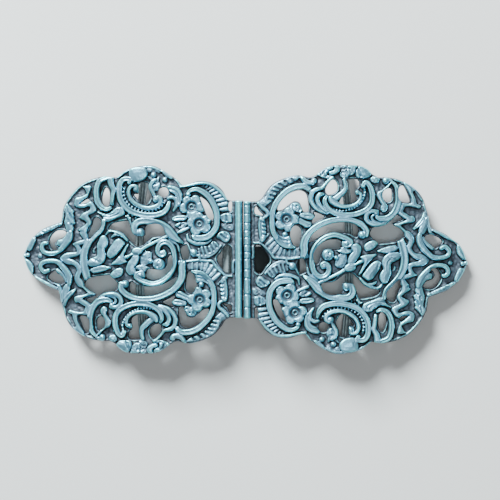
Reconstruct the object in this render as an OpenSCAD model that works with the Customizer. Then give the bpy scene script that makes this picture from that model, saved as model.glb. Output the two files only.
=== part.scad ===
// Fastened two-part clasp buckle: two equal pierced castings, belt bars, a hook plate and its catch bar.
// The buckle lies face up. X runs from tip to tip, Y across it and Z up, with z = 0 under the lug feet.
// The origin is below the centre of the joint between the halves.

/* [Overall] */
// Length of one half, from the centre line to its tip
half_l = 50; // [46:1:58]
// Half of the width across the lobes
half_w = 21; // [20.5:0.5:25]
// Height of the castings' underside at the centre line
crown_z = 5; // [4.8:0.1:6]
// Height of the castings' underside at the tips
tip_z = 0.4; // [0.2:0.1:1.2]
// Space between the two rails
part_gap = 0.36; // [0.2:0.02:0.6]

/* [Casting] */
// Thickness of the pierced ground
web_t = 1.2; // [0.9:0.1:1.6]
// Greatest height of the cast relief over the ground
relief_h = 1.4; // [0.8:0.1:2]
// Height of the rail over the ground
rail_h = 1.3; // [0.8:0.1:2]
// Depth to which the relief is rooted in the ground
root_d = 0.35; // [0.2:0.05:0.6]

/* [Belt bars] */
// Distance of a bar's ends from the centre line
bar_x = 22.6; // [20:0.2:26]
// Outward bow at a bar's middle
bar_bow = 1.05; // [0.5:0.05:1.6]
// Width of a bar
bar_w = 1.8; // [1.4:0.1:2.4]
// Height of a bar
bar_h = 1.1; // [0.8:0.1:1.4]
// Width of the groove along a bar
groove_w = 0.6; // [0.4:0.1:0.8]
// Depth of that groove
groove_d = 0.45; // [0.2:0.05:0.6]
// Height of a bar's underside over the table
bar_z = 1; // [0.6:0.1:1.4]
// Clear length between the lugs, for the belt
slot_l = 36; // [30:1:36]
// Length of a bar's end inside its lug
bar_in = 1.1; // [0.8:0.1:1.4]

/* [Lugs] */
// Length of a belt bar lug along X
lug_l = 3.4; // [3:0.2:5]
// Width of a belt bar lug along Y
lug_w = 2; // [1.8:0.1:2.4]
// Length of a catch bar lug along X
ear_l = 2.4; // [2:0.1:3]
// Width of a catch bar lug along Y
ear_w = 1.6; // [1.2:0.1:2]

/* [Hook and catch] */
// Width of the hook plate
hook_w = 5.8; // [4:0.2:8]
// Thickness of the hook plate
hook_t = 0.6; // [0.5:0.05:0.8]
// Distance of the hook plate's fixed end from the centre line
hook_x = 12.5; // [11:0.5:13]
// Distance at which the hook plate starts to step down
step_x = 8; // [7:0.2:9]
// Radius of the catch bar
catch_r = 0.55; // [0.4:0.05:0.6]
// Distance of the catch bar from the centre line
catch_x = 3.5; // [3.4:0.1:4]
// Clear length of the catch bar between its lugs
catch_l = 13; // [10:0.5:15]

/* [Fits] */
// Clearance between pieces that are set in each other
fit = 0.1; // [0.05:0.05:0.15]

/* [Hidden] */
metal = [0.62, 0.68, 0.70];
dark_metal = [0.45, 0.50, 0.54];
// Radius of the arch that the castings follow
arch_r = (half_l * half_l + (crown_z - tip_z) * (crown_z - tip_z)) / (2 * (crown_z - tip_z));
// Facets of the arch along one half
arch_steps = 4;
// Petals of a flower, and the depth of the notch between them as a share of its radius
petals = 5;
petal_notch = 0.72;
// Width share up to which a strand is a plain ridge
ridge_w = 2.5;
// Widths of the rail's crest and of its flank, in hundredths of half_l
rail_crest = 2.9;
rail_flank = 4.6;
// Radius of a belt bar's bow
bow_r = (slot_l * slot_l / 4 + bar_bow * bar_bow) / (2 * bar_bow);
// Reach of a bar's end corners along Y, and its drift towards the centre line inside a lug
bar_end = (slot_l / 2 + bar_in) * (1 + bar_w / 2 / bow_r);
end_drift = sqrt(bow_r * bow_r - slot_l * slot_l / 4) - sqrt(bow_r * bow_r - pow(slot_l / 2 + bar_in, 2));
// Metal under the catch bar in its ears
ear_wall = 0.7;
// Length of the hook plate's step, and the shift of its upper face that keeps the sheet's thickness
step_run = 1.6;
step_shift = 0.3;
// Inner and outer radius of the hook's curl
curl_in = catch_r + fit + 0.05;
curl_out = curl_in + hook_t;
// Height of the catch bar's axis, with the curl just under the castings
catch_z = crown_z - curl_out - 0.15;

// All places below are shares: u in hundredths of half_l outward from the centre line,
// v in hundredths of half_w, up to the upper edge of the left half, and widths in hundredths of half_l.

// Ends of the rail along v, the places of its ribbon ties and a tie's width in millimetres
rail_low = -62.5;
rail_high = 64;
ties = [-50.3, -41.8, -32.8, -16, 10.1, 19.3, 36.3];
tie_w = 0.4;

// Outline of a casting, without its straight edge at the rail. Columns: u, v
OUTLINE = [
    [5, 63.5], [6.8, 64.5], [7.8, 68], [9.6, 74], [12.6, 79.7], [16.5, 82.8], [20.3, 83], [24, 80.3],
    [27, 78.6], [29.3, 84], [32.5, 89.5], [36.5, 95.5], [39.5, 99], [42.4, 100], [46.9, 99], [50.1, 97.2],
    [53, 94], [55.2, 89.8], [56.8, 87.4], [60, 88], [62.7, 88.4], [66.4, 87], [70, 84], [73.5, 79.5],
    [77, 71.5], [79.8, 62.5], [81.5, 54], [82, 46], [82.6, 40.4], [85.1, 38], [89.3, 34.4], [92.5, 30],
    [95.4, 24], [97.3, 17], [99.2, 8.8], [100, 4], [99.2, -1], [98, -9], [96, -16.4], [93.4, -20.8],
    [90, -26.8], [86.3, -31], [83.2, -34.5], [82.5, -41], [82, -49], [81, -57], [79.8, -65], [76.3, -75],
    [71.5, -82], [67.8, -85.5], [64, -87], [60.2, -87], [58.6, -88.5], [56.9, -91], [55.4, -95], [51.9, -99],
    [46.6, -100], [42.4, -100], [38.6, -98.7], [35.5, -95], [32.2, -89.3], [29.5, -87], [27, -88], [24, -89],
    [19.5, -86.8], [15.3, -82.8], [12.2, -78], [10, -71.5], [8, -65], [6, -62.5]];

// Gaps cut through a casting, a row of [u, v] points for each
GAPS = [
    // Beside the two tip scrolls
    [[80, 28], [81.5, 31], [84.5, 30.5], [87, 25], [87.9, 18.5], [86.8, 12], [85.2, 9.2], [83.2, 10.2],
     [84.6, 13], [85.2, 17], [84, 21], [81.5, 23.5]],
    [[85.2, -11.8], [87.5, -15.5], [88.3, -20], [85.5, -25], [82.5, -26.5], [80.6, -23.5], [81, -20],
     [82.5, -16.5], [83.9, -15.5]],
    // Upper shoulder
    [[61.8, 76.5], [63.1, 70], [63.4, 62], [61.8, 56], [60.4, 59], [60, 67], [60.4, 73.5]],
    [[67.2, 44], [65.4, 44.5], [63.6, 40], [63.8, 34], [66.4, 27.5], [69.2, 21.5], [69.9, 27], [68.9, 32.5],
     [68, 38]],
    [[73.6, 59.2], [71.5, 59.8], [69.3, 62.5], [70.2, 64.5], [72, 62.3]],
    // Over the figure, under the curl of the main scroll
    [[60.5, 33], [59, 37.8], [55.4, 40.2], [51.6, 41], [50.6, 36], [49.8, 31], [48.4, 26], [44.2, 25.5],
     [44, 34], [42.4, 37], [39.5, 38], [36.5, 36], [35, 31], [35, 25.5], [40, 23.5], [42.8, 19.5],
     [45, 15.5], [48, 14.5], [50.1, 18.5], [51.6, 22], [53.4, 27], [56, 30.2], [58.7, 31.2]],
    // Upper medallion
    [[46.6, 81], [43, 81], [42.4, 75], [41.2, 67], [42.6, 60], [44.3, 57.6], [46.3, 61], [49, 69], [47, 70.5]],
    [[38, 71], [37.3, 75], [35.6, 76.8], [34, 75], [33.4, 71], [34.2, 67.3], [35.8, 66.3], [37.4, 67.6]],
    // Under the figure, down to the lower shoulder scroll
    [[70.2, -21.5], [67.5, -18.8], [62, -17], [59.8, -17], [58.3, -20.5], [56.4, -25.5], [56.6, -30.5],
     [58, -34], [60.5, -34.8], [63.6, -37], [65.9, -41.8], [68, -47], [69.3, -46], [70.5, -42.5],
     [66.3, -38], [69.6, -33], [71.5, -27.5]],
    [[65.5, -62.5], [63.5, -61], [61.9, -66], [62, -71], [63.4, -74.5], [65.4, -75], [65.9, -69]],
    [[73.8, -61], [70.2, -61.5], [69, -66], [69, -75], [70.8, -78.5], [72.8, -70]],
    // Lower medallion
    [[47.7, -59], [44.5, -57.8], [42.7, -60.3], [43.6, -65], [46, -71.4], [46.6, -77], [46, -83.5],
     [48.5, -85.3], [51, -83.9], [51.3, -78.4], [49.8, -72], [50.3, -64]],
    [[37.5, -68.7], [36.5, -73.8], [37.9, -80.6], [40, -84.5], [41.6, -80], [41.6, -73.5], [40, -69.8]],
    // Between the main scroll and the scroll round the head, and round the head
    [[50.2, -23.8], [47.4, -27], [43.9, -28.6], [40, -28.8], [35.5, -26], [31.5, -20.5], [29.8, -18.5],
     [29.2, -20], [30.8, -27], [34, -33], [38.6, -37.6], [42.4, -39], [46.9, -39], [50.3, -36], [51, -29.5]],
    [[43.3, -14], [42.4, -10], [36.5, -11], [34.3, -6], [33.8, 1], [32.6, 5], [31.3, 1], [31.3, -7],
     [33.5, -15], [37, -20], [41, -21.3], [43.5, -19]],
    // Upper cartouche
    [[19.3, 66.5], [16.5, 62], [14.6, 55], [13.3, 47], [13.5, 42.5], [15.2, 43], [16.6, 48.5], [17.2, 53],
     [18.2, 58.5], [18.9, 63]],
    [[28, 11.8], [26.5, 14.5], [24.8, 15], [24.3, 8], [24.1, 3], [25.1, -0.5], [26.8, -1], [27.6, 5]],
    // Lower cartouche
    [[23.9, -12.5], [22.2, -16], [21, -23], [21, -30], [22.2, -35], [24, -35.5], [25.6, -31], [25.4, -23],
     [24.9, -15]],
    [[28.8, -51.5], [26.8, -50.8], [25.8, -56], [24.8, -60.5], [22.5, -61.5], [20.2, -58], [17.5, -53],
     [15.3, -52.5], [15.8, -58], [17.8, -64.5], [21, -70.3], [24.8, -73], [27.6, -70], [28.6, -62]],
    [[30.6, -38.5], [33.6, -42], [36, -45.3], [33.5, -48.7], [31.3, -50], [31.9, -46], [30.9, -42.5]],
    // Beside the rail
    [[11.8, 1], [10, 7.5], [7.6, 15], [5.6, 13], [5, 8], [5, -6], [5.3, -14.5], [7.5, -14.5], [10, -8]],
    [[6.3, 61], [5.1, 61], [5.1, 54], [5.6, 50.5], [6.6, 54]],
    [[8.8, -46.7], [6.5, -47.5], [5.2, -49], [5.1, -54], [5.8, -56.2], [6.8, -52], [8, -48.8]]];

// Raised strands. Each row: height as a share of relief_h, then stations of u, v, width
TIP_STRANDS = [
    [0.8, [[96.8, 11, 1.6], [96, 16, 2], [94.8, 21.5, 1.6]]],
    [0.8, [[97.2, -2, 1.2], [96.2, -8, 2.4], [94.9, -14.5, 1.4]]],
    [0.9, [[88.9, 16.5, 1.5], [91, 12.8, 1.6], [89.5, 7.4, 1.8], [86.2, 5.4, 2], [83.3, 6.8, 2],
           [80.8, 11.2, 2], [78.7, 17, 2.1], [77.2, 24, 2.2], [77.3, 29.6, 2.4]]],
    [0.85, [[77.6, 29, 2.4], [78.6, 36, 3.6], [78.7, 44, 3.8], [79.2, 52, 3], [79.8, 59, 1.2]]],
    [0.9, [[88.7, -11, 1.4], [90.2, -12.2, 1.5], [91.3, -8.8, 1.6], [90.2, -3.8, 1.8], [87.6, -1.6, 2],
           [84.5, -2.4, 2.2], [81.5, -6.2, 2.4], [79, -12, 2.6], [77.8, -19, 2.6], [77.6, -25, 2.2],
           [78.2, -29, 1.4]]],
    [0.6, [[84, -11.5, 1.4], [81.8, -14.5, 1.6], [80.2, -19.5, 1.4], [79.2, -24, 1]]],
    [0.8, [[79.6, -28.5, 1.6], [80.4, -34, 3], [80.6, -41, 1.9], [81, -49, 1.2]]],
    [0.65, [[75.2, -33, 0.8], [77, -38, 2], [78.9, -42.5, 2.4], [80, -48, 1.2]]]];
BORDER_STRANDS = [
    [0.75, [[69.3, 79, 1.6], [69.8, 72, 1.8], [71.5, 67, 2], [74.4, 63.3, 2.4], [74.8, 58.8, 2.2],
            [72, 56.8, 1.6], [69.2, 58.6, 1.6], [67.6, 56.5, 2], [68.2, 52, 2], [70.5, 48.5, 2.4],
            [73.4, 44.8, 1]]],
    [0.75, [[72.6, 45.5, 1], [70.6, 42, 2], [70, 38, 1.8], [71.9, 33.5, 1.8], [73.6, 30.3, 0.9]]],
    [0.75, [[73, 31, 1], [71.6, 27, 1.8], [70.6, 22, 1.5], [72, 18.4, 1.4], [76, 16, 1.2]]],
    [0.7, [[75.6, 16, 1.2], [74, 12, 1.4], [73.9, 8, 1.4], [76, 5, 1.6], [80, 2.8, 2], [83, 0.4, 1]]],
    [0.7, [[82.5, 0, 1.2], [79, -2.8, 1.4], [76, -4.8, 1.5], [74.2, -9, 1.6], [74.1, -16, 1.7],
           [74.6, -21.5, 2], [72.8, -27.5, 2], [70, -32.5, 1.8], [66.8, -37, 1]]],
    [0.7, [[67, -37.2, 1], [71, -39.8, 1.5], [74.9, -42, 2], [73.6, -45, 1.6], [70.4, -48.4, 1.5],
           [69.3, -51.5, 1.5], [70.2, -57.8, 1.4], [74, -58.8, 1.4], [78, -55.6, 1]]],
    [0.7, [[76.4, -57, 1.2], [75.5, -65, 1.8], [74, -73, 2.2], [71.6, -80, 1.6]]],
    [0.8, [[62.4, 41, 1.6], [62.9, 36, 1.8], [64, 30.8, 2], [66.8, 24.5, 2.2], [69.3, 18, 2.6], [71, 10, 3],
           [71.6, 2, 3.2], [71.4, -6, 3.2], [70.6, -14, 3.4], [69.9, -19.5, 3]]]];
MIDDLE_STRANDS = [
    [0.95, [[62.8, 86, 2.1], [65.3, 82, 2.2], [66, 75, 2.3], [65.9, 66, 2.3], [65, 59, 2.2],
            [63.2, 54.2, 2], [61, 53.2, 1.8], [59.8, 55.5, 1.2]]],
    [0.9, [[59.4, 86, 3.4], [58.7, 78, 2.2], [58.4, 70, 2], [58.5, 63, 2.1], [58.7, 57, 1.4]]],
    [0.8, [[65, 51.6, 1], [62.2, 46.4, 2.6], [58.8, 45.6, 4.2], [56, 48.8, 3.4], [54.4, 53.6, 1.6]]],
    [1, [[50.4, 82.5, 1.3], [51.7, 85.4, 1.6], [53.6, 83.4, 1.8], [54.7, 77.5, 2], [54.8, 70, 2],
         [54, 63, 2], [51.8, 56.8, 2], [48.7, 51.3, 2], [44.5, 47.7, 2], [40.2, 47.2, 2], [36.2, 49.2, 2],
         [33.7, 54.5, 2], [33.3, 60, 1.8], [33.8, 64.5, 1.2]]],
    [0.9, [[48.3, 74.4, 1.4], [50.3, 76.4, 1.4], [51, 72, 1.5], [49.9, 65.5, 1.6], [47.2, 58.9, 1.6],
           [43.9, 55.4, 1.6], [40.9, 55.4, 1.6], [38.7, 57.6, 1.6], [37.8, 61.5, 1.6], [38.8, 65, 1.4]]],
    [0.8, [[33, 66, 1], [31, 64, 1.6], [29.9, 59.5, 1.7], [30.3, 54.5, 1.4], [31.6, 50.3, 0.8]]],
    [0.85, [[33.8, 76.4, 1.6], [31, 76.6, 2.2], [28.8, 73.2, 2.2], [27.4, 68, 1.8], [27.3, 62, 1.6],
            [28.6, 56, 0.8]]],
    [0.6, [[41.5, 84, 1.8], [41.3, 77, 2], [40, 68.5, 1.6]]],
    [0.7, [[37.2, 93.4, 2], [34.4, 88.6, 2], [31.6, 84.6, 1.5], [29.2, 80.4, 1]]],
    [1, [[46.2, 30, 2], [48.1, 35.6, 2.4], [46.5, 40.3, 2.4], [43, 41.6, 2.4], [39, 41.4, 2.6],
         [35.2, 38.6, 3.2], [32.4, 33, 3.8], [30.2, 26.5, 3.4], [28.4, 21, 2], [26.9, 17.6, 0.9]]],
    [1, [[26.6, -2.5, 1.8], [27.1, -9, 2.6], [27, -16, 3], [28.2, -24, 2.6], [31.2, -32, 2.2],
         [35.7, -38.3, 2.1], [41, -41.6, 2], [46.6, -41.6, 2], [51.6, -38, 2], [54.5, -31, 2],
         [54.5, -25.5, 1.6]]],
    [0.95, [[35.7, 9.6, 1.3], [37.7, 10, 1.8], [37.1, 15, 2], [34.6, 18, 2.1], [31.9, 14, 2], [30.1, 6, 2],
            [29.5, -3, 1.8], [30.2, -10, 1.6], [32.5, -17.4, 1.6], [36, -22.3, 1.6], [41, -24.6, 1.6],
            [45.8, -22.6, 1.6], [47.9, -18.5, 1.4]]]];
LOWER_STRANDS = [
    [0.95, [[59.3, -48.6, 1.5], [57.1, -50.6, 1.8], [55, -48.3, 2], [54.4, -43.4, 2.1], [55.7, -38.6, 2.2],
            [58.6, -36.6, 2.2], [61.9, -38.8, 2.2], [64.4, -43.6, 2.3], [66.6, -50, 2.3], [67.7, -57.5, 2.3],
            [67.8, -66, 2.3], [67.1, -75, 2.3], [65.3, -82, 2.2], [62.6, -83.6, 1.8]]],
    [0.85, [[62, -50.5, 1.8], [62.7, -55, 2.4], [61.4, -61, 2.4], [60, -66.5, 2.8], [61.2, -72, 2],
            [63.8, -76.8, 1], [65, -80, 0.7]]],
    [1, [[36, -49.6, 1.8], [39.6, -47, 2], [43.9, -46.3, 2], [48.7, -48.4, 2], [52.6, -53, 2],
         [55.2, -59, 2], [56.6, -65.5, 2], [56.7, -72, 2], [56, -78, 2], [54.4, -81.4, 1.7],
         [52.9, -79, 1.2]]],
    [0.95, [[36.6, -49.6, 1.8], [33.2, -54, 2], [31, -60, 2], [30.4, -66.5, 1.8], [31.6, -71.5, 1.6],
            [34, -74, 1.4], [35.4, -77.5, 1.2]]],
    [0.8, [[36.6, -52.4, 1], [34.5, -57, 1.8], [33.7, -62, 2], [34.7, -66.4, 1.6], [36.2, -68, 0.8]]],
    [0.85, [[50.7, -70, 1.2], [52, -66, 1.4], [51.2, -61.5, 1.5], [48.7, -57.6, 1.6], [45.4, -56, 1.6],
            [42.4, -56.2, 1.8], [40.2, -58.8, 2.4], [39.6, -62.5, 2.6], [39.2, -66, 1.4]]],
    [0.6, [[42.2, -64.5, 1.6], [44.6, -72, 1.8], [44.6, -80, 2], [43.4, -88, 2]]],
    [0.7, [[56.4, -88.6, 1], [53.8, -93.4, 1.2], [50.4, -96.2, 1.3], [45.6, -96.8, 1.6], [41.6, -95.6, 2.8],
           [38.4, -92.8, 3.2], [35.8, -88.8, 3], [34.6, -84.8, 1.8]]],
    [0.8, [[32.1, -84, 1.3], [31.2, -80.4, 1.8], [28.8, -79.6, 2.2], [26.9, -82.8, 2.4], [25.2, -87, 1.6]]]];
INNER_STRANDS = [
    // Upper cartouche: ring, leaf under it, husk leaves and rims
    [0.95, [[23.4, 69.4, 1.3], [23.9, 72, 1.3], [22, 74.8, 1.4], [19.4, 75, 1.6], [16.6, 72.3, 1.8],
            [14.1, 66.3, 2], [12.4, 58.6, 2.1], [11.4, 50, 2.2], [11.2, 41.5, 2.2], [12.1, 33.6, 2.3],
            [13.8, 27.4, 2.4], [16.8, 23.6, 2.5], [20.4, 23.4, 2.4], [22.3, 26, 1.2]]],
    [0.6, [[24.8, 25.5, 0.9], [23.8, 20.6, 1.3], [20.4, 17.2, 1.4], [17, 17.4, 1.4], [13.9, 21.2, 0.9]]],
    [0.7, [[31.4, 43, 1.2], [29, 44.2, 2.6], [26, 44, 2.4]]],
    [0.55, [[29.8, 37, 1.4], [27.6, 36.2, 2], [25.4, 36.6, 1.4]]],
    [0.6, [[29.6, 29, 0.9], [26.6, 31.2, 1.4], [24, 33.4, 1]]],
    [0.6, [[25.8, 77.4, 1], [20.2, 80.2, 1.2], [16.4, 79.9, 1.2], [13, 76.8, 1.1], [10.4, 71.4, 1],
           [8.6, 65.6, 1]]],
    [0.7, [[24, 13.6, 1], [23.2, 7.6, 2.4], [21.4, 3.4, 2.6], [19.2, 5.6, 1.6], [16.4, 4.2, 1.8],
           [13.4, 7.4, 1.8], [10.8, 12.4, 1.6], [9.4, 18.6, 1.2]]],
    // Lower cartouche: rim over it, ring, husk, leaves, stem and rim under it
    [0.75, [[26.4, -2.6, 1.2], [23.4, -2, 1.4], [20.4, -1, 1.4], [16, -1.6, 1.8], [13.2, -4.6, 2.2],
            [11, -10.4, 2], [8.6, -16, 1.6], [5, -17.2, 1]]],
    [0.95, [[23, -12, 1], [19.8, -12.8, 1.6], [16.4, -16.4, 1.8], [14, -23, 1.9], [12.8, -31, 2],
            [12.4, -40, 2], [12.7, -48, 2], [13.8, -56.4, 2.1], [15.9, -65, 2.2], [19.1, -72, 2.2],
            [22.6, -75.6, 2.3], [26, -76.2, 2.4], [28.8, -73, 1.8]]],
    [0.65, [[30.2, -35, 1.2], [28, -37.6, 2.4], [25.4, -40.4, 2.2], [23, -42.6, 1.2]]],
    [0.65, [[31.2, -45.6, 1], [28.6, -45.6, 2.6], [25.6, -47, 2], [23.8, -50, 1.4]]],
    [0.6, [[7.6, -19, 1], [8.3, -25, 2.2], [8.3, -34, 2.4], [8.1, -43.6, 1.6]]],
    [0.7, [[9.9, -46, 1.2], [9.6, -51, 1.4], [7.8, -57, 1.8], [9, -61.4, 2.4], [11.6, -67.6, 2.8],
           [13.8, -74.2, 2.6], [16.6, -79.4, 2.2], [20, -83, 1.6], [24, -86, 1]]]];
FIGURE_STRANDS = [
    [1, [[63.2, 23.5, 2.4], [62.9, 14, 3.6], [64.4, 5, 4], [66.9, -1, 3.6], [67.8, -5, 2]]],
    [1.05, [[60.4, 5, 2.6], [57.6, 10.5, 3.8], [55, 16.5, 3.4], [53.3, 21, 1.6]]],
    [0.8, [[61, 26, 1.2], [58.4, 29, 1.6], [55.4, 27.6, 1.5], [53.4, 23.8, 1]]],
    [0.9, [[52.4, 15, 1.6], [54, 8, 3.2], [55.6, 1.5, 4], [55.6, -3, 3]]],
    [0.7, [[68.6, -11, 1.4], [65, -11.6, 3], [61.4, -10.4, 3], [59.2, -8, 1.2]]],
    [1, [[53.4, 3, 1.8], [50.9, 6.5, 2], [48.9, 11, 1.9], [46.3, 12.2, 1.8], [43.4, 13.8, 1.6],
         [39.6, 18, 1.4], [36, 21.2, 1.4], [33.6, 25, 1.4]]],
    [1, [[48.8, 8, 2.2], [48, 1, 2.4], [49.2, -6, 2], [49.9, -14, 1.4]]],
    [0.9, [[48, -8.6, 1.8], [45, -8.4, 1.8], [42.5, -7.6, 1.6]]]];

// Raised domes. Columns: u, v, radius along u as width share, the same across, turn, height share
DOMES = [
    [97.8, 4, 1.6, 1.3, 0, 0.7], [82.2, 18.4, 2.3, 1.7, 20, 0.85], [47.4, 90.6, 2.7, 3, 0, 0.95],
    [40.4, 89.4, 1.5, 1.5, 0, 0.7], [39.4, 62.6, 1.7, 1.7, 0, 1],
    [46.4, 29, 1.6, 2.4, 0, 1.05], [52.8, -26.2, 1.7, 1.7, 0, 1.05], [46.1, -16.6, 1.8, 1.8, 0, 1.05],
    [56.5, -14, 1.7, 2.1, 0, 1], [43, 4, 3, 2, 0, 0.8],
    [38, -4.4, 3.2, 2.5, 0, 1.15], [58.4, -83.6, 1.9, 1.4, 0, 0.7],
    [53.6, -90.4, 2.4, 2.4, 0, 0.8], [49, -92.4, 2, 1.8, 0, 0.7], [18.4, -26.6, 1.3, 1.2, 0, 0.7],
    [23.3, -55.8, 2.4, 2.2, 0, 0.8], [8.6, 24.4, 2.6, 2, 25, 0.6], [7.9, 45, 2, 1.3, 0, 0.55],
    [5.9, -35, 0.9, 2.6, 0, 0.5]];

// Flowers of five petals. Columns: u, v, radius as width share, turn
FLOWERS = [[22.3, 56.2, 4.3, 20], [19.4, 38.6, 4.2, 55], [19.2, -42.6, 4.5, 10]];

// Radial ribs of the shell borders. Columns: u and v at the ring, u and v at the rim, width
RIBS = [
    [15.6, 73.6, 13.8, 78.4, 1], [14.4, 70.4, 11.8, 75, 1], [13.2, 66.8, 10, 71, 1], [12.2, 62.4, 8.6, 65.6, 1],
    [11, 57.6, 7.4, 58.4, 1.1], [10.4, 52.4, 7, 52.6, 1], [10, 36, 5.6, 33.6, 2.4], [11, 14.8, 12.6, 18, 1.2],
    [16, 8, 17.6, 13, 1], [20.4, -4, 20.4, -9.4, 2.2], [16.6, -4, 17.4, -10, 1], [13.6, -8.6, 15.8, -13.2, 1],
    [11.8, -12.4, 14.2, -17.4, 1], [9.6, -17, 12.8, -22.4, 1]];

// Place of a share point on the left half
function place(s) = [-s[0] / 100 * half_l, s[1] / 100 * half_w];
// Length of a width share
function len_of(w) = w / 100 * half_l;
// Height of the castings' underside at x
function under(x) = crown_z - (arch_r - sqrt(arch_r * arch_r - x * x));
function unit(d) = d / norm(d);
function heading(c, i) = unit(c[min(i + 1, len(c) - 1)] - c[max(i - 1, 0)]);

// Flat shape of a casting with its gaps
module plate_2d() {
    edge = -part_gap / 2 - 0.3;
    rail_top = (rail_high - 0.5) / 100 * half_w;
    rail_bottom = (rail_low + 0.5) / 100 * half_w;
    difference() {
        polygon(concat([[edge, rail_top]], [for (s = OUTLINE) place(s)], [[edge, rail_bottom]]));
        for (g = GAPS) polygon([for (s = g) place(s)]);
    }
}

// Arched slab between two heights over the underside
module arch_slab(low, high) {
    xs = [for (i = [0 : arch_steps]) -(half_l + 1) * i / arch_steps];
    top = [for (x = xs) [x, under(x) + high]];
    bottom = [for (i = [arch_steps : -1 : 0]) [xs[i], under(xs[i]) + low]];
    translate([0, half_w + 1, 0])
        rotate([90, 0, 0])
            linear_extrude(2 * half_w + 2) polygon(concat(top, bottom));
}

// One raised strand, with a flat crown where it is broad and a ridge where it is slim, lower at both ends
module strand(share, rows) {
    n = len(rows);
    c = [for (r = rows) place(r)];
    broad = max([for (r = rows) r[2]]) > ridge_w;
    m = broad ? 4 : 3;
    points = [for (i = [0 : n - 1])
        let (d = heading(c, i),
             side = [-d[1], d[0]] * len_of(rows[i][2]) / 2,
             base = under(c[i][0]) + web_t,
             top = base + share * relief_h * (i == 0 || i == n - 1 ? 0.6 : 1),
             rim = broad ? [side, side * 0.5, -side * 0.5, -side] : [side, [0, 0], -side],
             z = broad ? [base - root_d, top, top, base - root_d] : [base - root_d, top, base - root_d])
        for (k = [0 : m - 1]) [c[i][0] + rim[k][0], c[i][1] + rim[k][1], z[k]]];
    sides = [for (i = [0 : n - 2]) for (k = [0 : m - 1])
        let (a = i * m + k, b = i * m + (k + 1) % m)
        each [[a, b + m, b], [a, a + m, b + m]]];
    last = (n - 1) * m;
    ends = [[for (k = [0 : m - 1]) k], [for (k = [m - 1 : -1 : 0]) last + k]];
    polyhedron(points, concat(sides, ends), convexity = 4);
}

module strands(rows) {
    for (r = rows) strand(r[0], r[1]);
}

// Low dome, standing on the ground at a share point
module dome(s, along, across, turn, share, sides = 6) {
    c = place(s);
    translate([c[0], c[1], under(c[0]) + web_t - root_d])
        rotate(turn)
            hull() {
                scale([len_of(along), len_of(across), 1]) cylinder(r = 1, h = root_d + share * relief_h * 0.5, $fn = sides);
                scale([len_of(along), len_of(across), 1])
                    cylinder(r = 0.55, h = root_d + share * relief_h, $fn = sides);
            }
}

// Flower: a low star of petals with a hub
module flower(row) {
    c = place(row);
    r = len_of(row[2]);
    low = under(c[0]) + web_t - root_d;
    high = low + root_d + 0.7 * relief_h;
    n = 2 * petals;
    ring = function(share, z) [for (k = [0 : n - 1])
        let (a = row[3] + 180 * k / petals, q = share * r * (k % 2 == 0 ? 1 : petal_notch))
        [c[0] + q * cos(a), c[1] + q * sin(a), z]];
    points = concat(ring(1, low), ring(0.75, high), [[c[0], c[1], high - 0.2 * relief_h]]);
    sides = [for (k = [0 : n - 1]) let (m = (k + 1) % n) each [[k, n + k, n + m], [k, n + m, m]]];
    crown = [for (k = [0 : n - 1]) [n + k, 2 * n, n + (k + 1) % n]];
    polyhedron(points, concat(sides, crown, [[for (k = [0 : n - 1]) k]]), convexity = 4);
    dome(row, 0.34 * row[2], 0.34 * row[2], 0, 0.9, 6);
}

module rib(row) {
    strand(0.5, [[row[0], row[1], row[4] * 0.7], [row[2], row[3], row[4]]]);
}

// Reeded rail along the centre edge: a crest with ribbon ties and a low flank, through the ground
module rail() {
    crest_w = len_of(rail_crest);
    flank_w = len_of(rail_flank);
    low = rail_low / 100 * half_w;
    long = (rail_high - rail_low) / 100 * half_w;
    z = crown_z - 0.1;
    crest = [[0, 0], [crest_w, 0], [crest_w, 0.6], [crest_w * 0.75, 0.9], [crest_w * 0.25, 0.9], [0, 0.6]];
    section = [for (c = crest) [-c[0], -c[1] * rail_h - (c[1] > 0 ? web_t + 0.1 : 0)]];
    flank = [[0.15, 0], [0.15, web_t + 0.1 + 0.45 * rail_h], [flank_w, web_t + 0.1 + 0.45 * rail_h], [flank_w, 0]];
    translate([-part_gap / 2, low, z])
        rotate([-90, 0, 0])
            linear_extrude(long) polygon(section);
    translate([-part_gap / 2, low + 0.05, z])
        rotate([-90, 0, 0])
            linear_extrude(long - 0.1) polygon([for (f = flank) [-f[0], -f[1]]]);
    for (v = ties)
        translate([-part_gap / 2 - crest_w - 0.1, v / 100 * half_w - tie_w / 2, z + web_t])
            cube([crest_w + 0.05, tie_w, 0.1 + rail_h]);
}

// Feet behind the casting with sockets for the belt bar's ends
module belt_lugs() {
    for (s = [-1, 1])
        difference() {
            translate([-bar_x - lug_l / 2, s * (slot_l / 2 + lug_w / 2) - lug_w / 2, 0])
                cube([lug_l, lug_w, under(bar_x) + web_t / 2]);
            translate([-bar_x - bar_w / 2 - fit, -bar_end - fit, bar_z - fit])
                cube([bar_w + 2 * fit + end_drift, 2 * (bar_end + fit), bar_h + 2 * fit]);
        }
}

// Ears behind the left casting with holes for the catch bar
module catch_ears() {
    for (s = [-1, 1])
        difference() {
            translate([-catch_x - ear_l / 2, s * (catch_l + ear_w) / 2 - ear_w / 2, catch_z - catch_r - ear_wall])
                cube([ear_l, ear_w, catch_r + ear_wall + crown_z - catch_z + web_t / 2]);
            translate([-catch_x, 0, catch_z])
                rotate([90, 0, 0]) cylinder(r = catch_r + fit, h = catch_l + 2 * ear_w + 2, center = true, $fn = 16);
        }
}

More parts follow.
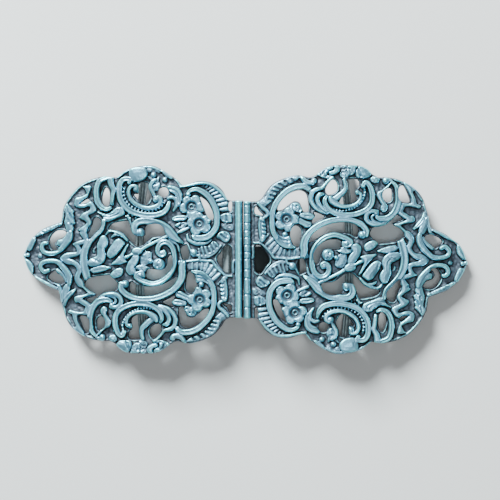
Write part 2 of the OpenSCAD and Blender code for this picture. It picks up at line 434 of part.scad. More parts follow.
// Half of the buckle in cast metal, rail and ornament in one
module casting() {
    union() {
        intersection() {
            linear_extrude(crown_z + web_t + relief_h) plate_2d();
            arch_slab(0, web_t);
        }
        strands(TIP_STRANDS);
        strands(BORDER_STRANDS);
        strands(MIDDLE_STRANDS);
        strands(LOWER_STRANDS);
        strands(INNER_STRANDS);
        strands(FIGURE_STRANDS);
        for (d = DOMES) dome([d[0], d[1]], d[2], d[3], d[4], d[5]);
        for (f = FLOWERS) flower(f);
        for (r = RIBS) rib(r);
        rail();
        belt_lugs();
    }
}

module left_casting() {
    color(metal) {
        casting();
        catch_ears();
    }
}

module right_casting() {
    color(metal) rotate(180) casting();
}

// Bowed channel bar for the belt, its ends set in the lugs
module belt_bar() {
    centre_x = -bar_x - bar_bow + bow_r;
    span = 2 * asin((slot_l / 2 + bar_in) / bow_r);
    translate([centre_x, 0, bar_z])
        rotate(180 - span / 2)
            difference() {
                rotate_extrude(angle = span, $fn = 720)
                    translate([bow_r - bar_w / 2, 0]) square([bar_w, bar_h]);
                rotate(-1)
                    rotate_extrude(angle = span + 2, $fn = 720)
                        translate([bow_r - groove_w / 2, bar_h - groove_d]) square([groove_w, groove_d + 1]);
            }
}

module left_belt_bar() {
    color(dark_metal) belt_bar();
}

module right_belt_bar() {
    color(dark_metal) rotate(180) belt_bar();
}

// Sheet metal tongue: flat under the right half, stepped down under the rails and curled round the catch bar
module hook_plate() {
    low_z = catch_z - curl_out;
    high_z = under(hook_x) - fit - hook_t;
    color(dark_metal)
        translate([0, hook_w / 2, 0])
            rotate([90, 0, 0])
                linear_extrude(hook_w) {
                    polygon([[-catch_x, low_z], [step_x - step_run, low_z], [step_x, high_z], [hook_x, high_z],
                        [hook_x, high_z + hook_t], [step_x - step_shift, high_z + hook_t],
                        [step_x - step_run - step_shift, low_z + hook_t], [-catch_x, low_z + hook_t]]);
                    translate([-catch_x, catch_z])
                        difference() {
                            circle(r = curl_out, $fn = 64);
                            circle(r = curl_in, $fn = 64);
                            translate([0, -2 * curl_out]) square(4 * curl_out);
                        }
                }
}

module catch_bar() {
    color(dark_metal)
        translate([-catch_x, 0, catch_z])
            rotate([90, 0, 0]) cylinder(r = catch_r, h = catch_l + 2 * ear_w, center = true, $fn = 48);
}

left_casting();
right_casting();
left_belt_bar();
right_belt_bar();
hook_plate();
catch_bar();
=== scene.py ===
"""Fastened two-part clasp buckle of pierced cast silver."""

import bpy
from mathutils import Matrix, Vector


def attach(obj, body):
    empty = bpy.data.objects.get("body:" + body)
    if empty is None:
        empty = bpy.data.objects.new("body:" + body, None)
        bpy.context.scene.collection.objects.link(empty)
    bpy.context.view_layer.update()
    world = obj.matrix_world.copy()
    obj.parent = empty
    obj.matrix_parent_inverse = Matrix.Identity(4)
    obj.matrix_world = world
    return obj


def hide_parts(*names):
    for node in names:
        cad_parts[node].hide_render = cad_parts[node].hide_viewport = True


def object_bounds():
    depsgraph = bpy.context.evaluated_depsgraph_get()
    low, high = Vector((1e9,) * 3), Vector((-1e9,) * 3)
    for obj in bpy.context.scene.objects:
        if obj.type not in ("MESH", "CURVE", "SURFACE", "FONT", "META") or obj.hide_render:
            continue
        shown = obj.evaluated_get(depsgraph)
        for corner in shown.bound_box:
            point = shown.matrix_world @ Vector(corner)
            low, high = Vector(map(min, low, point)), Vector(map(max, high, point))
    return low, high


bl_info = {
    "name": "Cast Clasp Buckle",
    "version": (1, 0, 0),
    "blender": (4, 5, 0),
    "location": "View3D > Sidebar > Buckle",
    "description": "Builds a fastened clasp buckle with two pierced castings, belt bars and a hook",
    "category": "Add Mesh",
}

import bmesh
import bpy
import numpy as np
from bpy.props import FloatProperty, FloatVectorProperty, PointerProperty
from bpy.types import Operator, Panel, PropertyGroup
from mathutils import Matrix, Vector, geometry

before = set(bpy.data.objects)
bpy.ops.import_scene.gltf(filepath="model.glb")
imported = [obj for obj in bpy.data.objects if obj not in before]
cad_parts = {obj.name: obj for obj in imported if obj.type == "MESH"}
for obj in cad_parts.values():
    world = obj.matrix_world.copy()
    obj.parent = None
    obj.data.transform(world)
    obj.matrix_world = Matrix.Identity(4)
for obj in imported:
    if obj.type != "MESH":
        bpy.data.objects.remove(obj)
cad_low, cad_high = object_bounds()

MM = 0.001

# Places are shares of the half: u in hundredths of its length outward from the centre line, v in hundredths
# of its half width, up to the upper edge of the left half, widths in hundredths of the length.

# Outline of a casting from the upper end of its rail round the tip to the lower end. Columns: u, v
OUTLINE = [
    (5, 62.2), (6.8, 63.2), (7.8, 67), (9.6, 74), (12.6, 79.7), (16.5, 82.8), (20.3, 83), (24, 80.3),
    (27, 78.6), (29.3, 84), (32.5, 89.5), (36.5, 95.5), (39.5, 99), (42.4, 100), (46.9, 99), (50.1, 97.2),
    (53, 94), (55.2, 89.8), (56.8, 87.4), (60, 88), (62.7, 88.4), (66.4, 87), (70, 84), (73.5, 79.5),
    (77, 71.5), (79.8, 62.5), (81.5, 54), (82, 46), (82.6, 40.4), (85.1, 38), (89.3, 34.4), (92.5, 30),
    (95.4, 24), (97.3, 17), (99.2, 8.8), (100, 4), (99.2, -1), (98, -9), (96, -16.4), (93.4, -20.8),
    (90, -26.8), (86.3, -31), (83.2, -34.5), (82.5, -41), (82, -49), (81, -57), (79.8, -65), (76.3, -75),
    (71.5, -82), (67.8, -85.5), (64, -87), (60.2, -87), (58.6, -88.5), (56.9, -91), (55.4, -95),
    (51.9, -99), (46.6, -100), (42.4, -100), (38.6, -98.7), (35.5, -95), (32.2, -89.3), (29.5, -87),
    (27, -88), (24, -89), (19.5, -86.8), (15.3, -82.8), (12.2, -78), (10, -71.5), (8, -64.4), (6, -61.4)]

# Gaps cut through a casting, a closed curve through each row of u, v points
GAPS = [
    # Beside the two tip scrolls
    [(80, 28), (81.5, 31), (84.5, 30.5), (87, 25), (87.9, 18.5), (86.8, 12), (85.2, 9.2), (83.2, 10.2),
        (84.6, 13), (85.2, 17), (84, 21), (81.5, 23.5)],
    [(85.2, -11.8), (87.5, -15.5), (88.3, -20), (85.5, -25), (82.5, -26.5), (80.6, -23.5), (81, -20),
        (82.5, -16.5), (83.9, -15.5)],
    # Upper shoulder
    [(61.8, 76.5), (63.1, 70), (63.4, 62), (61.8, 56), (60.4, 59), (60, 67), (60.4, 73.5)],
    [(67.2, 44), (65.4, 44.5), (63.6, 40), (63.8, 34), (66.4, 27.5), (69.2, 21.5), (69.9, 27),
        (68.9, 32.5), (68, 38)],
    [(73.6, 59.2), (71.5, 59.8), (69.3, 62.5), (70.2, 64.5), (72, 62.3)],
    # Over the figure, under the curl of the main scroll
    [(60.5, 33), (59, 37.8), (55.4, 40.2), (51.6, 41), (50.6, 36), (49.8, 31), (48.4, 26), (44.2, 25.5),
        (44, 34), (42.4, 37), (39.5, 38), (36.5, 36), (35, 31), (35, 25.5), (40, 23.5), (42.8, 19.5),
        (45, 15.5), (48, 14.5), (50.1, 18.5), (51.6, 22), (53.4, 27), (56, 30.2), (58.7, 31.2)],
    # Upper medallion
    [(46.6, 81), (43, 81), (42.4, 75), (41.2, 67), (42.6, 60), (44.3, 57.6), (46.3, 61), (49, 69),
        (47, 70.5)],
    [(38, 71), (37.3, 75), (35.6, 76.8), (34, 75), (33.4, 71), (34.2, 67.3), (35.8, 66.3), (37.4, 67.6)],
    # Under the figure, down to the lower shoulder scroll
    [(70.2, -21.5), (67.5, -18.8), (62, -17), (59.8, -17), (58.3, -20.5), (56.4, -25.5), (56.6, -30.5),
        (58, -34), (60.5, -34.8), (63.6, -37), (65.9, -41.8), (68, -47), (69.3, -46), (70.5, -42.5),
        (66.3, -38), (69.6, -33), (71.5, -27.5)],
    [(65.5, -62.5), (63.5, -61), (61.9, -66), (62, -71), (63.4, -74.5), (65.4, -75), (65.9, -69)],
    [(73.8, -61), (70.2, -61.5), (69, -66), (69, -75), (70.8, -78.5), (72.8, -70)],
    # Lower medallion
    [(47.7, -59), (44.5, -57.8), (42.7, -60.3), (43.6, -65), (46, -71.4), (46.6, -77), (46, -83.5),
        (48.5, -85.3), (51, -83.9), (51.3, -78.4), (49.8, -72), (50.3, -64)],
    [(37.5, -68.7), (36.5, -73.8), (37.9, -80.6), (40, -84.5), (41.6, -80), (41.6, -73.5), (40, -69.8)],
    # Between the main scroll and the scroll round the head, and round the head
    [(50.2, -23.8), (47.4, -27), (43.9, -28.6), (40, -28.8), (35.5, -26), (31.5, -20.5), (29.8, -18.5),
        (29.2, -20), (30.8, -27), (34, -33), (38.6, -37.6), (42.4, -39), (46.9, -39), (50.3, -36),
        (51, -29.5)],
    [(43.3, -14), (42.4, -10), (36.5, -11), (34.3, -6), (33.8, 1), (32.6, 5), (31.3, 1), (31.3, -7),
        (33.5, -15), (37, -20), (41, -21.3), (43.5, -19)],
    # Upper cartouche
    [(19.3, 66.5), (16.5, 62), (14.6, 55), (13.3, 47), (13.5, 42.5), (15.2, 43), (16.6, 48.5), (17.2, 53),
        (18.2, 58.5), (18.9, 63)],
    [(28, 11.8), (26.5, 14.5), (24.8, 15), (24.3, 8), (24.1, 3), (25.1, -0.5), (26.8, -1), (27.6, 5)],
    # Lower cartouche
    [(23.9, -12.5), (22.2, -16), (21, -23), (21, -30), (22.2, -35), (24, -35.5), (25.6, -31), (25.4, -23),
        (24.9, -15)],
    [(28.8, -51.5), (26.8, -50.8), (25.8, -56), (24.8, -60.5), (22.5, -61.5), (20.2, -58), (17.5, -53),
        (15.3, -52.5), (15.8, -58), (17.8, -64.5), (21, -70.3), (24.8, -73), (27.6, -70), (28.6, -62)],
    [(30.6, -38.5), (33.6, -42), (36, -45.3), (33.5, -48.7), (31.3, -50), (31.9, -46), (30.9, -42.5)],
    # Beside the rail
    [(11.8, 1), (10, 7.5), (7.6, 15), (5.6, 13), (5, 8), (5, -6), (5.3, -14.5), (7.5, -14.5), (10, -8)],
    [(6.3, 61), (5.1, 61), (5.1, 54), (5.6, 50.5), (6.6, 54)],
    [(8.8, -46.7), (6.5, -47.5), (5.2, -49), (5.1, -54), (5.8, -56.2), (6.8, -52), (8, -48.8)]]

# Raised strands. Each row: section, height as a share of the relief, stations of u, v, width of the top
STRANDS = [
    # Tip
    ("round", 0.55, [(99, 7, 1), (97, 16.5, 1), (94.8, 23.6, 1), (91.6, 30, 1), (88.4, 33.8, 1),
        (84.6, 36.8, 1), (82, 39.8, 1), (81.3, 46, 1), (80.8, 53, 0.9)]),
    ("round", 0.55, [(98.8, -2, 1), (97.2, -9, 1), (95.3, -16, 1), (92.6, -20.6, 1), (89.2, -26.2, 1),
        (85.6, -30.4, 1), (82.6, -34, 1), (81.9, -41, 1), (81.3, -49, 1), (80.2, -57, 0.9)]),
    ("round", 0.75, [(94, -19.3, 1.3), (90.5, -23.4, 1.5), (86.9, -27.9, 1.5), (84.1, -30.8, 1.1)]),
    ("round", 0.75, [(85, -24.7, 1.4), (83.4, -27.5, 1.6), (82.5, -32.5, 1.7), (82.4, -39.9, 1.5),
        (82.2, -44.8, 1.2)]),
    ("flat", 1, [(88.9, 17.4, 1.7), (90.3, 16.6, 1.9), (91, 12.9, 2.1), (90.1, 8.3, 2.1), (88, 6.3, 2),
        (85.5, 6.4, 2), (83.1, 9.1, 2.2), (81, 13.7, 2.5), (79, 19.5, 2.8), (77.8, 25.2, 2.6),
        (77.6, 28.9, 1.8)]),
    ("flat", 1, [(88, -11.9, 1.8), (89.6, -13.3, 2), (90.9, -11, 2), (91.5, -7.8, 2), (90.8, -4, 2),
        (88.7, -2, 2), (86.2, -1.6, 2.1), (83.8, -2.8, 2.3), (81.7, -6.9, 2.6), (79.9, -11.9, 2.8),
        (78.5, -17.6, 2.9), (78.2, -23.4, 2.5), (78.5, -27.5, 1.4)]),
    ("round", 0.8, [(83.8, -11.5, 1.8), (82, -15.2, 1.9), (80.6, -20.1, 1.7), (79.9, -23.4, 1.2)]),
    ("leaf", 0.8, [(75.7, -32.5, 1.1), (78.2, -37.4, 2.4), (79.9, -43.2, 2), (80.4, -49, 1)]),
    # Borders
    ("flat", 0.8, [(73.2, 28.5, 1), (71.5, 26, 2.8), (70.4, 21.9, 2.6), (70.8, 19.5, 2.2),
        (73.6, 17.4, 2.1), (76.4, 16.2, 1)]),
    ("flat", 0.75, [(75.7, 15.7, 1.2), (74.3, 12.9, 2.1), (73.9, 8.7, 2.1), (74.6, 5.9, 2),
        (77.8, 4.6, 2.4), (79.9, 3, 3), (82.4, 0.9, 0.9)]),
    ("flat", 0.75, [(82, 0.1, 1), (79.2, -2, 2.8), (76.4, -3.6, 2.4), (74.6, -6.9, 2.2),
        (73.6, -11.9, 2.4), (74.3, -16.8, 2.4), (74.6, -20.9, 2.8), (73.2, -25.9, 3.1),
        (72.2, -28.5, 1.6)]),
    ("round", 0.5, [(79.2, -63, 1), (75.9, -73.5, 1), (71.2, -80.6, 1), (67.6, -84, 1)]),
    ("round", 0.5, [(79.4, 61, 1), (76.4, 70.5, 1), (73, 78, 1), (69.6, 82.6, 1), (65.8, 85.6, 1)]),
    ("hollow", 1, [(62.4, 41, 1.8), (62.9, 36, 2), (64, 30.8, 2.2), (66.8, 24.5, 2.4), (69.3, 18, 2.9),
        (71, 10, 3.3), (71.6, 2, 3.5), (71.4, -6, 3.5), (70.6, -14, 3.6), (69.9, -19.5, 3.2)]),
    # Middle scrolls and upper medallion
    ("grooved", 1, [(61.2, 86.4, 2), (64.3, 83.3, 2.4), (65.6, 76.1, 2.5), (65.8, 67.8, 2.5),
        (65.1, 60.5, 2.4), (63.4, 55.3, 2.3), (61.2, 53.3, 1.9), (59.4, 54.8, 1.3)]),
    ("flat", 0.95, [(59.6, 86, 3.2), (59, 79.2, 2.6), (57.9, 74, 2.3), (58.3, 67.8, 2), (58.7, 60.5, 1.7),
        (58.5, 58.5, 1)]),
    ("hollow", 1.05, [(51, 81.3, 1.7), (50.6, 84.4, 1.9), (51.9, 85.4, 2.1), (53.7, 84.4, 2.2),
        (55.2, 79.2, 2.5), (55.4, 71.9, 2.6), (54.8, 63.6, 2.6), (52.8, 56.4, 2.6), (50.1, 51.2, 2.6),
        (46.6, 48.1, 2.6), (42.6, 46.5, 2.6), (38.7, 47.1, 2.5), (35.6, 49.6, 2.4), (33.8, 54.3, 2.1),
        (32.9, 60.5, 1.3)]),
    ("flat", 1, [(46.8, 71.9, 1.4), (47.5, 77.1, 1.6), (49.7, 77.6, 1.7), (51, 74, 1.7), (51, 68.8, 1.8),
        (50.1, 63.6, 1.9), (48.4, 59.5, 2), (45.7, 55.9, 2.1), (42.6, 54.3, 2.1), (39.6, 55.3, 2.1),
        (37.3, 58.5, 2.1), (36.7, 62.6, 2.1), (37.8, 65.7, 1.9), (39.1, 63.6, 1.5)]),
    ("round", 0.7, [(33.4, 64.7, 1.4), (31.6, 65.7, 1.8), (29.8, 62.6, 2), (29.8, 56.4, 1.8),
        (31.2, 51.2, 0.9)]),
    ("flat", 0.75, [(39.1, 84.4, 1.4), (40.4, 82.3, 1.8), (41.3, 77.1, 1.9), (40.2, 70.9, 1.8),
        (39.3, 66.7, 1.4)]),
    ("round", 0.6, [(30.4, 87, 0.9), (29.2, 82.4, 1), (27.9, 78.2, 1)]),
    ("round", 0.6, [(56, 87.6, 1.2), (54.4, 91, 1.4), (51.2, 95, 1.4), (47, 97.4, 1.4), (42.4, 98.2, 1.4),
        (39.4, 96.8, 1.4), (36.8, 94, 1.2)]),
    ("hollow", 1.1, [(45.4, 27.1, 2.2), (47.3, 25.1, 2.4), (48.3, 29.4, 2.7), (48.5, 34.7, 3),
        (47.3, 39, 3), (45, 40.7, 3), (41.7, 40.4, 3.1), (38.6, 38.7, 3.2), (36, 36, 3.4),
        (33.5, 31.4, 3.7), (31.8, 26.7, 3.7), (30, 22.6, 2.8), (28.4, 19.8, 1.8), (26.9, 17.6, 0.9)]),
    ("round", 0.75, [(34.5, 35, 1), (33.6, 29, 1.4), (33.8, 24, 1.2)]),
    ("round", 0.7, [(34.2, 26, 1.4), (31.8, 20, 1.7), (29.3, 15.4, 1.3), (28.4, 9, 1)]),
    ("round", 0.7, [(51.5, 46, 1.5), (50.6, 40, 1.2), (49.8, 33, 1)]),
    ("hollow", 1.1, [(26.6, -2.5, 2.2), (27.1, -9, 3), (27, -16, 3.3), (28.2, -24, 3), (31.2, -32, 2.8),
        (35.7, -38.3, 2.6), (41, -41.6, 2.6), (46.6, -41.6, 2.6), (51.6, -38, 2.6), (54.5, -31, 2.4),
        (54.5, -25.5, 1.8)]),
    ("grooved", 1.05, [(35.3, 8.4, 1.6), (34.9, 5.8, 1.8), (36.1, 4.1, 2), (37.6, 6.4, 2.2),
        (38, 11.4, 2.3), (36.7, 16.8, 2.4), (34.2, 18.4, 2.5), (31.8, 14.1, 2.4), (30.6, 6.1, 2.3),
        (30.5, -2.5, 2.3), (31.2, -9.8, 2.3), (32.9, -16.5, 2.3), (35.4, -21.8, 2.3), (38, -24.8, 2.3),
        (40.8, -25.8, 2.3), (43.9, -23.8, 2.3), (46.2, -21.5, 2.1), (47.6, -19.2, 2), (47.8, -16.5, 1.8),
        (46.5, -14.2, 1.8), (44.8, -14.5, 1.6), (44.4, -17.8, 1.4)]),
    # Lower medallion
    ("hollow", 1.05, [(65.8, -82.2, 1.2), (67.8, -77, 1.8), (68.6, -70, 2.3), (68.8, -63, 2.6),
        (68.5, -57.5, 2.8), (67.4, -51, 2.9), (65.7, -46, 2.9), (63.4, -43.4, 2.7), (61, -43, 2.4),
        (59.3, -44.6, 1.7)]),
    ("flat", 0.95, [(64.5, -40.5, 1), (62, -37.5, 1.6), (59.5, -36.6, 1.9), (57, -37.5, 2.1),
        (55.2, -40.2, 2.2), (54.5, -44.5, 2.2), (55.2, -48.6, 2.1), (57, -50.9, 2), (59.3, -50.6, 1.6)]),
    ("round", 0.85, [(61, -39.2, 1), (59, -39.4, 1.3), (57.4, -41.6, 1.4), (57, -44.6, 1.4),
        (57.8, -46.8, 1.4), (58.8, -46, 1)]),
    ("hollow", 1.05, [(53.1, -77.3, 1.8), (53.8, -80.6, 1.9), (54.9, -80.8, 2), (56.1, -77.3, 2.2),
        (57, -71.9, 2.4), (57.3, -66.5, 2.4), (57, -60, 2.4), (55.8, -55.1, 2.4), (53.8, -51.3, 2.4),
        (51.2, -48.6, 2.4), (48.4, -47, 2.4), (45.2, -46.8, 2.4), (42, -47.8, 2.4), (39.2, -50.8, 2.3),
        (37.4, -54.6, 2.2), (36.3, -59.4, 2.1), (36.2, -63.2, 1.8), (36.9, -66.5, 1.2)]),
    ("flat", 0.95, [(39.7, -48.8, 1), (36.9, -51.2, 1.6), (34.6, -55.2, 2), (33.2, -60, 2.1),
        (32.9, -64.3, 2.1), (33.9, -68.2, 2), (35.4, -69, 1.2)]),
    ("flat", 0.9, [(37.4, -48.6, 1), (33.7, -51.8, 1.7), (31.4, -56.7, 2), (30.2, -62.1, 2.1),
        (30.2, -67.6, 2.1), (30.9, -71.3, 2), (32.7, -74, 1.8), (35, -75.4, 1.5), (36.2, -78.8, 1.2),
        (37.8, -83, 1.2), (39.7, -86.5, 1.4)]),
    ("flat", 0.95, [(50.2, -70.6, 1.6), (51.9, -69.2, 1.6), (52.1, -65.4, 1.5), (51.4, -61.6, 1.5),
        (49.8, -58.3, 1.5), (47.5, -56.2, 1.6), (44.7, -55.6, 1.8), (42.4, -57, 2.2), (40.6, -59.4, 2.8),
        (39.2, -62.1, 3), (38.6, -65, 1.8)]),
    ("flat", 0.8, [(39.9, -63, 2.4), (41.7, -65.4, 2.6), (43.4, -68.6, 2.6), (44.7, -71.9, 2.4),
        (45.3, -74.6, 2), (45.4, -77.8, 1.8), (45.2, -81, 1.8), (44.8, -84, 1.6)]),
    ("round", 0.85, [(31.4, -83.5, 1.7), (31.3, -81.6, 2.1), (29.8, -80.6, 2.4), (27.9, -81.7, 2.5),
        (26.6, -84.6, 2.1), (25.6, -88, 1)]),
    # Upper cartouche: ring, leaf under it, husk leaves and rims
    ("hollow", 1, [(24.6, 67.4, 1.3), (24.2, 71.2, 1.5), (22.5, 73.7, 1.7), (20.4, 74.1, 2),
        (18.3, 72, 2.3), (16.2, 68.4, 2.5), (14.4, 63.9, 2.6), (13, 58.1, 2.6), (12, 52.4, 2.6),
        (11.5, 46.6, 2.6), (11.5, 40.9, 2.6), (11.8, 35.2, 2.6), (12.9, 30.2, 2.6), (14.4, 26.1, 2.7),
        (16.5, 23.3, 2.8), (19, 22.5, 2.8), (21.1, 22.9, 2.4), (22.2, 25.4, 1.3)]),
    ("round", 0.7, [(24.9, 26.2, 0.9), (24.4, 21.2, 1.4), (22.8, 18.4, 1.8), (20.4, 16.7, 2),
        (17.9, 16.7, 1.8), (15.8, 18, 1.4), (14.1, 20.8, 0.9)]),
    ("round", 0.65, [(28.9, 28.4, 1.4), (27, 30.4, 1.7), (24, 33.6, 1.3)]),
    ("round", 0.8, [(27.7, 77, 1.2), (25.3, 77.8, 1.3), (22.5, 79.2, 1.4), (20, 80.4, 1.5),
        (17.2, 80.6, 1.5), (14.5, 79.2, 1.5), (12.6, 76.6, 1.5), (10.5, 72.4, 1.5), (8.7, 67.6, 1.4),
        (7.4, 63.4, 1.2)]),
    ("round", 0.7, [(24.6, 15.2, 0.9), (23.7, 11, 1.1), (23, 8.1, 1.1)]),
    ("round", 0.6, [(19.6, 8, 1), (18.1, 2.6, 1.3), (16, 2.6, 1.3), (13.2, 5.9, 1.2), (11.2, 10.6, 1.2),
        (9.8, 14.8, 1)]),
    ("round", 0.75, [(21.6, 4.4, 1), (19.6, 3.8, 1.4), (19, -0.6, 1.4), (17.6, -0.8, 1)]),
    # Lower cartouche: rim over it, ring, stem and rim under it
    ("round", 0.7, [(25.6, -2.2, 1.3), (23.5, -1.6, 1.3), (20, -0.6, 1.3), (18.6, -0.9, 1.3),
        (15.8, -1.6, 1.3), (13.9, -1.8, 1.4), (12.6, -5.6, 1.4), (11.2, -9.8, 1.3), (9.1, -14.6, 1.2),
        (7.5, -17.1, 1.1), (5, -17.6, 1)]),
    ("hollow", 1, [(22.8, -12.8, 1), (20.4, -13.6, 1.8), (17.8, -15.4, 2.1), (15.6, -20.2, 2.2),
        (13.9, -26.4, 2.2), (13.1, -32.9, 2.3), (12.9, -40.3, 2.3), (13, -46.8, 2.3), (13.4, -52.5, 2.3),
        (14.4, -58.3, 2.4), (16, -64, 2.5), (17.9, -68.9, 2.5), (20, -73, 2.6), (22.5, -75.9, 2.6),
        (24.9, -77.1, 2.6), (27, -77.1, 2.5), (28.8, -74.6, 2.1), (29.5, -72.2, 1.5)]),
    ("flat", 0.7, [(8.4, -20, 1.8), (8.7, -24, 2.9), (8.6, -30, 3.4), (8.4, -36, 3.4), (8.3, -42, 2.6)]),
    ("round", 0.65, [(11, -26.4, 1), (9.6, -23.1, 1.4), (7.5, -19.6, 1.4)]),
    ("round", 0.75, [(8.8, -43.4, 1.2), (10.2, -45.2, 1.6), (11, -48, 1.8), (10.2, -51.8, 1.8),
        (8.5, -55, 2), (6.8, -59.4, 1.6)]),
    ("round", 0.5, [(5.6, -63.6, 1), (7.8, -66.8, 1), (9.7, -72.6, 1), (12, -79, 1), (15.4, -83.8, 1),
        (19.5, -86.9, 1), (24, -88.8, 1)]),
    ("round", 0.6, [(4, -1, 1), (4.7, -4.4, 1.5), (4.7, -8.4, 1.7), (4.3, -13.3, 1.2)]),
    # Figure
    ("round", 0.5, [(66.3, 12.6, 0.8), (67.2, 9.8, 1), (67, 7, 0.8)]),
    ("round", 0.85, [(61.5, 26.5, 0.8), (60, 30, 1.3), (58.3, 30.5, 1.6), (55.8, 28, 1.7),
        (53.6, 24.8, 1.7), (52, 20.5, 1.3)]),
    ("round", 0.8, [(59, 23.5, 0.8), (57.5, 26, 1.5), (55.5, 26.5, 1.5)]),
    ("flat", 0.95, [(45, 10.8, 1.6), (42.8, 14.1, 1.6), (39.4, 18.1, 1.5), (36.6, 21.4, 1.5),
        (34, 24.4, 1.7)]),
    ("round", 0.6, [(42.2, 17.4, 0.8), (40.3, 22.1, 0.8), (38, 23.4, 0.8), (35, 24.1, 0.8)])]

